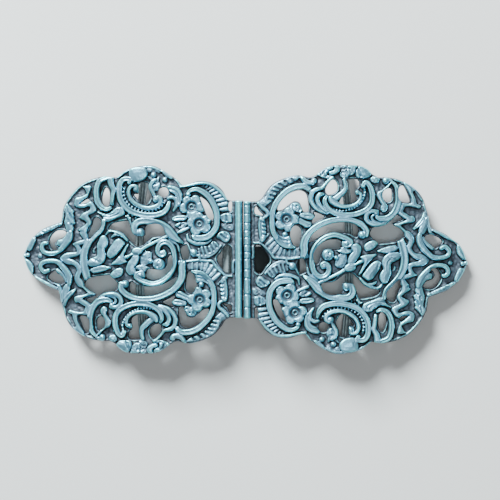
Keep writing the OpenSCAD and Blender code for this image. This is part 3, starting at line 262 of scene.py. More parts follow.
# Raised bodies. Each row: height as a share of the relief, texture depth, a closed curve through u, v points
FORMS = [
    # Rim lobes of the tip and leaves in front of the shoulder
    (0.8, 0, [(98.4, 10.4), (96.4, 9.6), (95.4, 12.9), (94.1, 19.5), (94, 22.7), (95.7, 23.6),
        (97.1, 18.6), (98.2, 13.7)]),
    (0.7, 0.12, [(94, 26), (89.4, 32.6), (84.5, 37.2), (82, 39.2), (81.8, 36.8), (84.1, 34.3),
        (87.6, 30.2), (91.2, 26.5), (93.6, 24)]),
    (0.8, 0, [(99.2, -0.3), (97.1, -1.2), (95.2, -6.9), (95.2, -14.3), (96.1, -15.2), (97.8, -9.4)]),
    (1, 0, [(83.8, 17.4), (83.4, 20.3), (81.3, 21.9), (79.9, 26), (79, 29.3), (78.2, 26.9), (79.2, 20.3),
        (81, 15.3), (82.7, 14.5), (83.8, 15.8)]),
    # Flame borders and leaves of the shoulders
    (0.85, 0, [(71.9, 77.5), (68.6, 78.1), (68.6, 74.2), (69.3, 70.1), (69.9, 67.1), (70.9, 65.4),
        (71.9, 63.6), (72.7, 61.1), (72.6, 59.5), (71.8, 59.1), (70.6, 59.3), (69.6, 60.8), (68.5, 61.5),
        (67.4, 59.7), (66.6, 57.1), (65.9, 54.1), (66.1, 51.8), (67.4, 49.4), (68.6, 48.3), (69.5, 47),
        (69.4, 45.3), (68.6, 42.3), (68.3, 40), (68.6, 37.6), (69.5, 35.2), (70.1, 32.9), (70.5, 29.3),
        (70.6, 26.9), (71.9, 26.9), (72.7, 28.7), (73.4, 30.2), (74.1, 30.8), (73.9, 32), (71.9, 35.2),
        (70.5, 37.9), (70.3, 39.5), (70.9, 40.7), (71.5, 41.8), (72.4, 42.6), (73.3, 43.8), (73.5, 44.7),
        (72.4, 48.2), (71.2, 50), (69.9, 51.2), (68.9, 53), (68.6, 55.3), (68.9, 56.5), (70.1, 56.5),
        (71.7, 55.3), (72.9, 54.8), (74.2, 55.3), (75.6, 57.1), (75.9, 58.9), (75.7, 62.4), (75.2, 65.4),
        (73.9, 66.3), (72.4, 67.1), (70.9, 68.9), (70.2, 70.2), (70.6, 73), (71.3, 76)]),
    (0.95, 0, [(79.3, 59.3), (78.3, 56.8), (77.2, 53.8), (76.2, 51.2), (76.6, 49.4), (76.3, 46.5),
        (76.1, 42.9), (75.9, 40), (75.6, 38.5), (76.4, 37), (76.6, 35.5), (76.3, 33.4), (76.7, 30.5),
        (77.6, 28.8), (78.5, 28.7), (79.3, 29.6), (79.7, 32.9), (80.1, 36.4), (80.4, 40), (80.1, 43.5),
        (79.8, 47), (80, 50.6), (80.7, 53.5), (80.1, 57.1)]),
    (0.8, 0, [(71.9, -28), (70.4, -31), (68.4, -33.4), (66.6, -36.3), (66.7, -37), (68.4, -37.8),
        (69.9, -39), (71.2, -40.2), (72.4, -42.1), (70.9, -44.3), (69.6, -46.4), (68.6, -48.4),
        (68.9, -51.7), (69.5, -55.2), (69.9, -58.8), (71.2, -59.4), (72.9, -58.7), (74.6, -59.7),
        (74.7, -62.3), (74.6, -65.3), (74.1, -68.2), (73.4, -71.2), (72.7, -74.1), (71.9, -77.1),
        (71.5, -80), (71.4, -81.8), (72.4, -81.5), (73.9, -79.5), (75.4, -75.9), (75.9, -73.5),
        (75.3, -71.8), (75.2, -70.3), (75.6, -68.2), (76.2, -64.7), (76.6, -61.1), (76.9, -58.8),
        (77.7, -57.7), (78.7, -56.3), (78, -54), (76.7, -54.9), (75.2, -55.7), (73.4, -56.4),
        (71.9, -55.8), (71.3, -54), (70.9, -51.7), (71, -50), (72.4, -48.1), (73.9, -45.8), (75.2, -45.8),
        (75.9, -43.7), (75.9, -40.7), (74.9, -39.3), (72.9, -38.4), (71.2, -37.5), (69.9, -36),
        (70.4, -34), (71.9, -30.7), (72.7, -28)]),
    (0.6, 0, [(80, -65.9), (78.5, -69.4), (76.9, -72.1), (75.9, -72.4), (74.9, -72.1), (73.4, -74.7),
        (71.9, -79.5), (71.5, -82.7), (72.9, -81.8), (75.2, -78.9), (77.5, -74.1), (79.2, -69.4)]),
    (0.9, 0, [(79.9, -26.7), (78.2, -27.5), (78, -31.7), (79.2, -36.6), (80.6, -42.4), (81.5, -44.8),
        (81.7, -38.3), (81.3, -31.7)]),
    # Figure: sash, lower fold, oval, big fold, foot, torso, arm, sleeve, hand
    (0.9, 0, [(51.3, 16.1), (52.4, 10.1), (53.4, 4.8), (53.3, 0.8), (51.9, -2.5), (54.1, -4.5),
        (56.4, -5.2), (59, -5.2), (57.3, -1.2), (55, 4.8), (53.3, 10.8), (52.4, 14.1)]),
    (0.85, 0, [(68.6, -11.8), (67.7, -9.2), (65.8, -7.8), (63.5, -6.5), (59.5, -8.5), (60.7, -10.5),
        (62.9, -12.5), (65.8, -14.2), (67.5, -14.4)]),
    (1.1, 0, [(55, 21.7), (53.3, 18.7), (53, 16.8), (54.1, 12.8), (55.8, 7.4), (57.5, 3.5), (59.2, 1.6),
        (60.5, 2.5), (61, 5.5), (60.4, 9.4), (59.2, 14.1), (57.8, 18.7), (56.4, 21.4)]),
    (1.1, 0, [(61.9, 25.1), (60.6, 20.1), (60.9, 14.8), (62.1, 10.1), (61.5, 4.1), (62.5, -2.5),
        (64.9, -6.5), (68.3, -7.5), (69.5, -5.2), (69.3, -1.2), (67.5, 1.5), (65.5, 4.1), (65.3, 10.1),
        (65.5, 14.8), (64.6, 20.1), (63.6, 24.4)]),
    (0.95, 0.02, [(54.7, -9.2), (53.7, -11.8), (54.1, -15.8), (55.8, -18.5), (57.8, -19.8), (59.7, -17.8),
        (58.7, -13.8), (57, -10.5)]),
    (0.62, 0.07, [(43.7, 8.8), (41.1, 7.4), (40.8, 2.1), (42, -3.2), (43.7, -6.5), (45.6, -5.2),
        (45.9, 1.5), (45.1, 6.1)]),
    (1.05, 0, [(49, 4.1), (46.5, 4.1), (46.8, -1.9), (47.9, -6.5), (48.5, -8.5), (47.6, -13.8),
        (50.2, -16.5), (51.9, -13.8), (52.2, -9.2), (51.3, -3.2), (50.2, 0.1)]),
    (1.15, 0, [(53, 3.1), (50.2, 6.1), (49.2, 10.8), (47.6, 12.4), (45.6, 12.1), (44.8, 10.1), (45.4, 6.8),
        (47.3, 4.1), (49.6, 4.1), (51.3, 1.5), (52.7, 0.5)]),
    (0.95, 0.05, [(47.6, -7.2), (45.4, -5.9), (43.4, -7.2), (41.7, -9.2), (42, -11.8), (44.5, -12.8),
        (46.5, -11.2), (47.9, -9.8)]),
    # Upper medallion: shoulder body, top body, border, leaf and feather
    (0.9, 0, [(65.4, 50.7), (61.2, 48.1), (58.5, 51.2), (56.8, 54.8), (54.6, 55.3), (53, 51.2), (53.7, 47),
        (56.8, 43.9), (60.7, 40.3), (62.1, 41.9), (63.4, 47)]),
    (0.55, 0.1, [(43, 96.6), (40.6, 97.6), (38.2, 95.4), (37.4, 91.6), (39.6, 93.4), (42.2, 92.6)]),
    (0.55, 0.1, [(42.6, 88.6), (41, 86.2), (39.4, 84.6), (37.6, 87.2), (38, 82), (40.8, 83)]),
    (1.05, 0, [(50.9, 92.7), (49.8, 96.6), (46.6, 97.8), (43.8, 96.4), (42.7, 91), (43.6, 86.4),
        (45.6, 83.4), (49, 82.6), (50.5, 86.4)]),
    (0.7, 0.06, [(36.5, 95.8), (34.7, 94.7), (32, 88.5), (31.6, 85.4), (33.4, 86.4), (35.6, 90.6)]),
    (0.6, 0.12, [(39.6, 83), (38, 83), (37, 79.4), (37.6, 74.4), (39.6, 72.6), (40.6, 77)]),
    (0.9, 0, [(33.8, 76.6), (32.5, 78.2), (29.4, 76.1), (27.4, 70.9), (27.2, 63.6), (28.3, 57.4),
        (29, 56.4), (29.2, 62.6), (30.3, 68.8), (32.5, 71.9)]),
    # Lower medallion: hourglass, hook, knobs and bodies of the lower rim
    (0.95, 0, [(62.5, -50.2), (63.6, -52.5), (63.9, -55), (63.6, -57.8), (62.6, -60.8), (62, -64),
        (61.8, -67), (62.3, -70.3), (63.6, -74.3), (65, -78.3), (65.9, -81.6), (64.8, -80.2),
        (63.2, -76.3), (61.5, -73.1), (59.8, -71.2), (59.2, -67.5), (59.9, -63.8), (60.8, -60.3),
        (61.4, -57.6), (61, -54.6), (61.2, -51.6)]),
    (0.85, 0, [(66, -82.7), (65.1, -85.4), (63.2, -86.5), (62.1, -84.9), (62.1, -81.6), (62.8, -80),
        (63.9, -80), (64.6, -82.2)]),
    (0.75, 0.08, [(60, -82), (59, -80.8), (57.5, -81), (56.6, -84), (57.2, -87), (58.8, -87),
        (60.2, -85)]),
    (0.8, 0.04, [(56.8, -91.4), (55.8, -87.6), (54.2, -86), (52.1, -86), (50.1, -88.1), (50.3, -94.6),
        (51.7, -98.4), (53.5, -97.4), (55.4, -94.6)]),
    (0.75, 0.06, [(49.8, -94.6), (49.4, -91.4), (48, -89.2), (46.6, -89.2), (46.1, -91.4), (46.1, -95.7),
        (46.6, -98.6), (48, -99.2), (50.3, -99)]),
    (0.65, 0.16, [(46, -85), (44.4, -86), (43, -88.4), (43, -92), (44.6, -94.6), (46, -91), (46.6, -88)]),
    (0.6, 0.16, [(45.6, -94.4), (43.6, -94.6), (43.2, -98), (44.6, -99.6), (45.8, -98.6)]),
    (0.9, 0, [(42.9, -95.7), (42.4, -92.5), (40.6, -89.8), (38.7, -89.2), (38, -91.4), (38.7, -93),
        (40.1, -94.1), (40.6, -97), (40.3, -98.8), (41.5, -99.2), (42.4, -98.4)]),
    (0.75, 0.1, [(40.1, -86), (37.8, -85.4), (36, -86), (33.7, -88.1), (32.7, -90.4), (33.7, -93.6),
        (36, -96.9), (38.3, -98.2), (39.7, -98.2), (39.6, -95.7), (37.4, -92.5), (37.4, -88.8),
        (39.7, -88.1)]),
    (0.8, 0, [(29.5, -71.3), (28.1, -73), (26.5, -74.6), (25.8, -77.3), (27.2, -78.8), (29, -77.8),
        (29.9, -74.6)]),
    # Upper cartouche: husk leaves, blocks beside the rail and under the ring
    (0.8, 0, [(31.5, 43), (30.2, 45.4), (27, 46.6), (25.4, 45.8), (25.2, 42.6), (27.7, 40.9),
        (30.5, 40.9)]),
    (0.65, 0.1, [(30.3, 36), (28.7, 38.5), (26.2, 39.3), (25.2, 38.5), (25.3, 35.2), (27, 32.8),
        (28.7, 33.5)]),
    (0.7, 0.02, [(9.9, 46.6), (7.5, 48.7), (5.4, 47.5), (5, 42.5), (5.4, 39.3), (8.9, 39.7), (9.9, 43.4)]),
    (0.42, 0.1, [(9.9, 37.6), (7.4, 38), (4.6, 36.4), (4.4, 31.4), (6, 30.6), (9, 33)]),
    (0.72, 0.02, [(11.7, 23.3), (11, 27), (9.6, 29), (7.8, 29.4), (6.1, 26.1), (5.7, 22.9), (6.8, 18.7),
        (8.2, 18.3), (9.9, 20.8)]),
    (0.62, 0.02, [(20, 11), (19, 13.1), (17.2, 13.9), (15.8, 13.1), (15, 9.4), (15.4, 4.8), (16.9, 3),
        (18.3, 4.6), (19.3, 8.1)]),
    (0.66, 0.02, [(15.6, 12.6), (14.8, 15.5), (13.4, 18.8), (12, 18), (10.8, 13.9), (11.5, 10.6),
        (13, 7.6), (15, 5), (15.4, 9)]),
    # Lower cartouche: ground under its shell, head of the ring, husk leaves, bell and stem
    (0.4, 0.06, [(24.4, -3), (24.4, -10.4), (19, -10.8), (15.5, -15.6), (14, -23), (10.6, -17), (12, -9),
        (13.8, -3.6), (18, -2.6)]),
    (0.75, 0, [(22.8, -12.6), (20.4, -12.2), (17.8, -14), (15.6, -18), (14, -24), (14, -30), (15, -29),
        (16, -25.6), (18.4, -23), (20.6, -24.6), (20.9, -20), (21.6, -16)]),
    (0.8, 0, [(30.2, -36.9), (29.5, -34.1), (27.7, -33.7), (26, -36.2), (23.9, -38.6), (22.9, -40),
        (23.5, -42.4), (25.6, -43.1), (27.7, -40.7), (29.7, -39.2)]),
    (0.75, 0, [(31.6, -45.2), (30.5, -42.7), (28.8, -42.3), (27, -43.5), (25.3, -45.2), (25.6, -48.4),
        (28.1, -49.3), (30.2, -48.4)]),
    (0.75, 0.05, [(26.1, -51.7), (25.6, -55), (24.9, -58.3), (23.5, -59.7), (21.8, -58.9), (20.7, -55),
        (20.4, -52.4), (22.1, -51.2), (23.5, -50.5), (25.3, -49.5)]),
    (0.62, 0.05, [(8.8, -56), (10.6, -57.6), (13, -63), (14.6, -69), (16.6, -74.6), (19.6, -79.4),
        (23.4, -83), (25, -87), (21, -86), (16.6, -83), (13.4, -78.6), (11.4, -73), (9.8, -66),
        (7.6, -60.4)]),
    (0.75, 0, [(28.8, -1.8), (26.7, -0.8), (25.6, -2.2), (25.4, -5), (27, -9.2), (28.4, -9.2),
        (28.8, -5.9)])]

# Cuts in the bodies. Columns of stations: u, v, width, with the depth in millimetres in front
CUTS = [
    (0.28, [(37.6, -2, 0.8), (37.5, -1.4, 0.8)]), (0.28, [(38.2, -7.4, 0.8), (38.1, -6.8, 0.8)]),
    (0.4, [(78, 48.4, 0.7), (77.3, 45.4, 0.8), (76.2, 43.4, 0.7)]), (0.35, [(77.2, 37.2, 0.7),
    (76, 36.2, 0.8)]), (0.25, [(78.8, 42, 0.8), (78.5, 39.6, 0.8)]), (0.12, [(79.4, 56, 0.6),
    (78.9, 50, 0.6)]), (0.16, [(62.6, 45.4, 0.5), (60, 44.8, 0.6), (57, 46.8, 0.6), (55, 49.8, 0.6),
    (54.8, 52.6, 0.5)]), (0.14, [(61.4, 47, 0.5), (59, 47.4, 0.6), (57, 49.6, 0.6), (56.2, 52.4, 0.5)]),
    (0.2, [(33, 74.4, 0.6), (30, 72, 0.6), (28.7, 66, 0.6), (28.6, 60, 0.5)]), (0.08, [(63.8, 12, 0.8),
    (64, 4, 0.8), (66, -2.4, 0.7)]), (0.14, [(67.4, 0.6, 0.6), (64.6, -2.6, 0.6)]),
    (0.08, [(58, 17.6, 0.6), (59.4, 11, 0.7), (60, 5, 0.6)]), (0.1, [(54.4, 9, 0.6), (55.2, 3, 0.6)]),
    (0.1, [(61.6, -9.6, 0.6), (64.6, -11, 0.6), (67, -12, 0.6)]), (0.14, [(47.4, 5, 0.6), (48.6, 5.4, 0.6),
    (49.6, 6.8, 0.5)]), (0.25, [(30.6, 43, 0.5), (28.6, 43.8, 0.7), (26.4, 43.8, 0.6)]),
    (0.3, [(28.9, 34.4, 0.6), (26.6, 37.2, 0.8)]), (0.2, [(29.3, -36.2, 0.5), (27, -38.4, 0.6),
    (24.6, -40.8, 0.5)]), (0.2, [(30.6, -45.2, 0.5), (27.6, -45.8, 0.6)]), (0.35, [(23.8, -56.2, 1),
    (23.7, -56.6, 1)]), (0.35, [(25.2, -52.4, 0.9), (25.1, -52.8, 0.9)]), (0.25, [(22.4, -55.4, 0.5),
    (21.8, -57.6, 0.5)]), (0.3, [(20.2, -15.8, 0.6), (17.6, -17.8, 0.7), (15.9, -21.6, 0.6)]),
    (0.3, [(20, -19.6, 0.6), (17.6, -20.6, 0.7), (15.8, -24, 0.6)]), (0.25, [(8.3, -24, 0.5),
    (8.1, -32, 0.6), (7.9, -40, 0.5)]), (0.3, [(52.2, -87.4, 0.6), (51.4, -92, 0.7), (50.4, -96.4, 0.7)]),
    (0.3, [(37, -87, 0.7), (35.6, -90, 0.8), (36, -94, 0.7)]), (0.3, [(34.8, -88.6, 0.6),
    (34.2, -92, 0.6)]), (0.25, [(47.8, -91, 0.6), (47.2, -96, 0.6)]), (0.4, [(9.9, 26.6, 0.7),
    (8.6, 23.8, 0.8), (7.6, 22, 0.7)]), (0.3, [(8, 28, 0.6), (7, 25.4, 0.7)]), (0.2, [(11, 22.6, 0.6),
    (9.6, 20.6, 0.6)]), (0.4, [(7.5, 46.8, 0.7), (7.3, 41, 0.8)]), (0.2, [(9.2, 45.4, 0.6),
    (8.8, 42, 0.6)]), (0.4, [(10.4, -25.8, 0.7), (9, -26.4, 0.7)]), (0.4, [(10.4, -30, 0.7),
    (9, -30.6, 0.7)]), (0.4, [(10.4, -34.2, 0.7), (9, -34.8, 0.7)]), (0.4, [(10.4, -38.4, 0.7),
    (9, -39, 0.7)]), (0.4, [(19.3, 12.4, 0.7), (18.4, 5.6, 0.7)]), (0.4, [(17.6, 12.6, 0.7),
    (16.7, 5.2, 0.7)]), (0.4, [(15.9, 12.4, 0.7), (14.9, 8, 0.7)]), (0.4, [(14.5, 15.4, 0.7),
    (13.2, 9.8, 0.7)]), (0.35, [(13, 17.4, 0.7), (11.7, 12.8, 0.7)]), (0.4, [(13.3, -62.4, 0.8),
    (11.3, -63.6, 0.6)]), (0.4, [(14.3, -66.4, 0.8), (12.1, -67.8, 0.6)]), (0.4, [(15.3, -70.6, 0.8),
    (13, -72.4, 0.6)]), (0.4, [(16.5, -74, 0.8), (14.2, -76.2, 0.6)]), (0.4, [(18.1, -77, 0.8),
    (16, -79.8, 0.6)]), (0.4, [(20.1, -79.8, 0.8), (18.4, -83, 0.6)]), (0.4, [(22.7, -82.2, 0.8),
    (21.6, -85.2, 0.6)])]

# Raised knobs. Columns: u, v, half length along u and across it as width shares, turn, height share
DOMES = [
    (99.2, 3.8, 1.2, 1.2, 0, 0.7), (97.6, 4.6, 1.2, 1.2, 0, 0.75), (92, 3.8, 1.4, 1.4, 0, 0.5),
    (40, 89.6, 1.5, 1.5, 0, 0.75), (47.8, 74.4, 1.7, 1.7, 0, 1), (38.8, 63.4, 1.7, 1.7, 0, 1.05),
    (34.9, 84.4, 1.4, 1.4, 45, 0.65), (45.9, 28.7, 2.1, 2.2, 0, 1.15), (52.8, -26.2, 2, 2, 0, 1.1),
    (45.9, -16.8, 1.8, 1.8, 0, 1.1), (36, 6.8, 1.7, 1.7, 0, 1), (37.6, -5, 2.9, 2.9, 0, 1.15, 4),
    (41.2, -1.9, 1.3, 1.3, 0, 1), (58.9, -48.6, 1.5, 1.5, 0, 0.95), (63.2, -83, 1.6, 1.8, 0, 0.95),
    (50.4, -70.6, 1.5, 1.4, 0, 0.95), (53.4, -77.6, 1.5, 1.4, 0, 0.95), (31.4, -83, 1.5, 1.4, 0, 0.85),
    (24.4, 68.6, 1.4, 1.2, 0, 0.95), (18.6, -26.4, 1.5, 1.4, 0, 0.8), (21.9, 7.2, 1.9, 2, 0, 0.85),
    (26.8, -4.4, 1.9, 2.2, 0, 1), (29.2, -74.6, 1.4, 1.5, 0, 0.9)]

# Small pearls. Columns: u, v, radius in millimetres
PEARLS = [
    (51, 49, 0.32), (49.5, 46.5, 0.32), (48, 44, 0.3), (50.5, 43.5, 0.3), (52.4, 45.8, 0.28),
    (46, 45.2, 0.26)]

# Flowers. Each row: u and v of the middle, then petals of u, v, radius as a width share
FLOWERS = [
    (23, 55.8, [(24.7, 61.4, 2.3), (21.1, 62.4, 2.4), (19, 55.2, 2.4), (22.3, 47.8, 2.9),
        (26, 54.6, 2.3)]),
    (19.5, 37.8, [(22.6, 38.8, 2.4), (19.6, 44.4, 2.3), (16.5, 41.4, 2.2), (16.9, 33.6, 2.5),
        (20.9, 31.2, 2.5)]),
    (19.3, -42.5, [(20.2, -34.6, 2.4), (16.6, -37, 2.3), (16.5, -45.4, 2.3), (20.4, -49.4, 2.5),
        (22.7, -42.2, 2.3)])]

# Radial ribs of the shell borders. Columns: u and v at the ring, u and v at the rim, width
RIBS = [
    (17.8, 77.6, 17, 80.6, 1), (16.6, 76.2, 15.2, 79.6, 1.2), (15.6, 74.2, 13.5, 77.4, 1.3),
    (14.8, 71.4, 11.9, 74.6, 1.4), (13.9, 68.4, 10.6, 71.2, 1.5), (13.1, 65, 9.4, 67.6, 1.6),
    (12.3, 61.2, 8.3, 63.6, 1.7), (11.3, 57, 7.4, 58.8, 2), (10.6, 52, 6.9, 53.4, 1.8),
    (22.6, -4, 22.8, -9.2, 1.5), (20.4, -3.8, 20.5, -9.4, 1.5), (18.2, -4, 18.6, -9.8, 1.6),
    (15.6, -4, 17, -11, 1.9), (13.6, -7, 15.7, -14, 2), (12, -11.4, 14.5, -17.8, 1.9),
    (10.4, -15.6, 13.5, -21.6, 1.8)]

# Fluted bands with beads in the medallions. Columns: u, v
BEAD_BANDS = [
    [(53, 77.1), (53.5, 71.9), (53, 65.7), (51.5, 59.5), (49.3, 55.3), (46.2, 52.2), (42.6, 50.7),
     (39.1, 52.2), (36.5, 56.4), (34.9, 61.6)],
    [(53.6, -75.4), (54, -70.8), (53.4, -65.4), (51.9, -60), (50, -56), (47.6, -53), (44.4, -51.4),
     (41.6, -51.9), (39, -53.6), (37.2, -56.4)]]


# Width of a strand's foot over that of its bright top
FOOT_SHARE = 1.12
# Drop of a body's foot for each millimetre outward
FOOT_SLOPE = 1.4
# Power of each kind of section: the higher, the squarer
SECTIONS = {"round": 3, "flat": 5, "grooved": 5, "hollow": 6, "leaf": 3.4}
# Reach of the distances to the edges of a casting, in millimetres
EDGE_REACH = 1.1


class Relief:
    """Height field of one casting in millimetres: x outward from the centre line, y across the buckle."""

    def __init__(self, half_l, half_w, edge_x, relief_h, step):
        self.half_l = half_l
        self.half_w = half_w
        self.edge_x = edge_x
        self.relief_h = relief_h
        self.step = step
        self.nx = int(np.ceil((half_l - edge_x) / step)) + 2
        self.ny = int(np.ceil(2 * half_w / step)) + 5
        self.low_y = -half_w - 2 * step
        self.x = edge_x + step * np.arange(self.nx)
        self.y = self.low_y + step * np.arange(self.ny)
        self.px, self.py = np.meshgrid(self.x, self.y, indexing="ij")
        self.h = np.zeros((self.nx, self.ny))
        self.lumps = grain(self.h.shape, 4.4, 11) * 0.7 + grain(self.h.shape, 2.6, 12) * 0.5

    def place(self, rows):
        """Millimetres of u, v rows, with a third column of widths turned into half widths."""
        scale = np.array([self.half_l, self.half_w, self.half_l / 2]) / 100
        return np.array(rows, float) * scale[:len(rows[0])]

    def near(self, points, reach):
        """Grid nodes near a dense curve, and the point each lies nearest to by the width there."""
        k = int(np.ceil(reach.max() / self.step)) + 1
        off = np.arange(-k, k + 1)
        ci = np.rint((points[:, 0] - self.edge_x) / self.step).astype(int)
        cj = np.rint((points[:, 1] - self.low_y) / self.step).astype(int)
        i, j = np.broadcast_arrays(ci[:, None, None] + off[None, :, None], cj[:, None, None] + off)
        dist = np.hypot(self.edge_x + i * self.step - points[:, 0, None, None],
                        self.low_y + j * self.step - points[:, 1, None, None])
        who = np.broadcast_to(np.arange(len(points))[:, None, None], dist.shape)
        ok = (i >= 0) & (i < self.nx) & (j >= 0) & (j < self.ny) & (dist <= reach[:, None, None])
        scale = points[:, 2] if points.shape[1] > 2 else np.ones(len(points))
        order = np.argsort(-(dist / scale[:, None, None])[ok], kind="stable")
        nearest = np.full(self.nx * self.ny, -1)
        nearest[(i * self.ny + j)[ok][order]] = who[ok][order]
        nodes = np.nonzero(nearest >= 0)[0]
        return nodes, nearest[nodes]

    def offsets(self, nodes, points):
        """Steps along x and y from a point for each node to the node."""
        return self.px.ravel()[nodes] - points[..., 0], self.py.ravel()[nodes] - points[..., 1]

    def follow(self, rows, margin=0.4):
        """Nodes along a strand, their distance and side offset in half widths, and the half width."""
        pts = smooth_curve(self.place(rows), 0.07)
        nodes, idx = self.near(pts, pts[:, 2] + margin)
        ahead = np.gradient(pts[:, :2], axis=0)
        ahead /= np.maximum(np.linalg.norm(ahead, axis=1), 1e-9)[:, None]
        dx, dy = self.offsets(nodes, pts[idx])
        half = pts[idx, 2]
        return nodes, np.hypot(dx, dy) / half, (ahead[idx, 0] * dy - ahead[idx, 1] * dx) / half, half

    def around(self, centre, reach):
        """Nodes in a square round a place, with their offsets from it."""
        inside = (np.abs(self.px - centre[0]) <= reach) & (np.abs(self.py - centre[1]) <= reach)
        nodes = np.nonzero(inside.ravel())[0]
        return nodes, *self.offsets(nodes, centre)

    def put(self, nodes, height, blend=0.16):
        """Raises nodes to a height with a soft joint at its foot."""
        flat = self.h.ravel()
        flat[nodes] = soft_max(flat[nodes], height, blend)

    def strand(self, section, share, rows):
        """A band along a curve. Its foot is wider than the bright top that the table gives."""
        nodes, ratio, lateral, half = self.follow([(u, v, w * FOOT_SHARE) for u, v, w in rows])
        top = share * self.relief_h * np.minimum(1, (half / 0.5) ** 0.5)
        inside = np.clip(ratio, 0, 1)
        body = (1 - inside ** SECTIONS[section]) ** 0.5
        if section == "grooved":
            body = body - 0.13 * np.exp(-((lateral - 0.15) / 0.24) ** 2)
        if section == "hollow":
            body = body - 0.12 * np.clip(1 - (lateral / 0.66) ** 2, 0, 1)
        if section == "leaf":
            body = body - 0.2 * np.exp(-(lateral / 0.16) ** 2) * (inside < 1)
        self.put(nodes, np.where(ratio < 1, top * body, -FOOT_SLOPE * (ratio - 1) * half), 0.1)

    def form(self, share, texture, rows):
        """A flat body with rounded shoulders inside a closed curve; texture is the depth of its lumps."""
        reach, shoulder, grow = 1.2, 0.28, 0.14
        loop = smooth_curve(self.place(rows), 0.06, True)
        nodes, idx = self.near(loop, np.full(len(loop), reach))
        inside = self.inside(loop).ravel()
        far = np.full(self.nx * self.ny, reach)
        far[nodes] = np.hypot(*self.offsets(nodes, loop[idx]))
        nodes = np.union1d(nodes, np.nonzero(inside)[0])
        d = np.where(inside[nodes], far[nodes], -far[nodes]) + grow
        rise = (1 - (1 - np.clip(d / shoulder, 0, 1)) ** 2.2) ** 0.55
        rough = texture * np.clip(self.lumps.ravel()[nodes] + 0.2, 0, 1) * np.clip(d / 0.3, 0, 1)
        top = share * self.relief_h * rise * (0.84 + 0.16 * d / reach) - 2.4 * rough
        self.put(nodes, np.where(d > 0, top, FOOT_SLOPE * d), 0.08)

    def dome(self, u, v, along, across, turn, share, power=2.3):
        """A low knob with its half axes along u and across it, turned by degrees."""
        a, b = along / 100 * self.half_l, across / 100 * self.half_l
        nodes, dx, dy = self.around(self.place([(u, v)])[0], max(a, b) + 0.4)
        t = np.radians(turn)
        ratio = np.hypot((dx * np.cos(t) - dy * np.sin(t)) / a, (dx * np.sin(t) + dy * np.cos(t)) / b)
        top = share * self.relief_h * (1 - np.clip(ratio, 0, 1) ** power) ** 0.5
        self.put(nodes, np.where(ratio < 1, top, -FOOT_SLOPE * (ratio - 1) * min(a, b)))

    def flower(self, u, v, petals):
        """Flat petals that slope down to a moat, with a ring round a deep hole in the middle."""
        centre = self.place([(u, v)])[0]
        for k, petal in enumerate(self.place([(pu, pv, 2.16 * size) for pu, pv, size in petals])):
            r = petal[2]
            nodes, dx, dy = self.around(petal, r + 0.4)
            out = petal[:2] - centre
            span = np.hypot(*out) * r
            away = (dx * out[0] + dy * out[1]) / span
            side = (dx * out[1] - dy * out[0]) / span
            q = np.hypot(away, side)
            crease = 0.05 * np.exp(-(side / 0.12) ** 2) * np.clip(away * 2.5, 0, 1)
            lip = 0.08 * np.exp(-((q - 0.72) / 0.2) ** 2) * np.clip(away * 2, 0, 1)
            share = 0.86 - 0.08 * (k % 2) + lip - crease
            top = self.relief_h * share * (1 - np.clip(q, 0, 1) ** 7) ** 0.5
            self.put(nodes, np.where(q < 1, top, -1.6 * (q - 1) * r), 0.02)
        nodes, dx, dy = self.around(centre, 1.7)
        rho = np.hypot(dx, dy)
        flat = self.h.ravel()
        moat = (0.3 + 0.7 * np.clip((rho - 0.85) / 0.7, 0, 1) ** 1.5) * self.relief_h
        flat[nodes] = np.where(rho < 1.6, np.minimum(flat[nodes], moat), flat[nodes])
        ring = 0.5 * self.relief_h * np.exp(-((rho - 0.5) / 0.2) ** 2)
        sunk = flat[nodes] * np.where(rho > 0.35, 1, 0.45)
        flat[nodes] = np.where(rho < 0.9, np.maximum(sunk, ring), flat[nodes])

    def groove(self, depth, rows):
        """Cuts a soft groove along a curve."""
        nodes, ratio, _, half = self.follow(rows, margin=0.3)
        flat = self.h.ravel()
        flat[nodes] -= depth * np.exp(-(ratio * half / 0.2) ** 2)

    def pearl(self, centre, radius, share):
        """A small ball at a place in millimetres."""
        nodes, dx, dy = self.around(centre, radius + 0.2)
        q = np.hypot(dx, dy) / radius
        top = share * self.relief_h * (1 - np.clip(q, 0, 1) ** 2) ** 0.5
        self.put(nodes, np.where(q < 1, top, -FOOT_SLOPE * (q - 1) * radius), 0.05)

    def beads(self, rows, count, radius, share):
        """Row of small beads along a curve."""
        pts = smooth_curve(self.place(rows), 0.03)
        run = np.concatenate([[0], np.cumsum(np.linalg.norm(np.diff(pts, axis=0), axis=1))])
        for k in range(count):
            self.pearl(pts[np.searchsorted(run, run[-1] * (k + 0.5) / count)], radius, share)

    def sample(self, field, x, y):
        """Field between the grid nodes."""
        fx = np.clip((x - self.edge_x) / self.step, 0, self.nx - 1.001)
        fy = np.clip((y - self.low_y) / self.step, 0, self.ny - 1.001)
        i, j = fx.astype(int), fy.astype(int)
        tx, ty = fx - i, fy - j
        return ((field[i, j] * (1 - tx) + field[i + 1, j] * tx) * (1 - ty)
                + (field[i, j + 1] * (1 - tx) + field[i + 1, j + 1] * tx) * ty)

    def inside(self, loop):
        """Which nodes lie inside a closed loop, from its crossings of the grid's rows."""
        out = np.zeros((self.nx, self.ny), bool)
        a, b = loop, np.roll(loop, -1, axis=0)
        for j, y in enumerate(self.y):
            hit = (a[:, 1] > y) != (b[:, 1] > y)
            if hit.any():
                cut = a[hit, 0] + (y - a[hit, 1]) / (b[hit, 1] - a[hit, 1]) * (b[hit, 0] - a[hit, 0])
                out[:, j] = (np.searchsorted(np.sort(cut), self.x + 1e-7) % 2) == 1
        return out

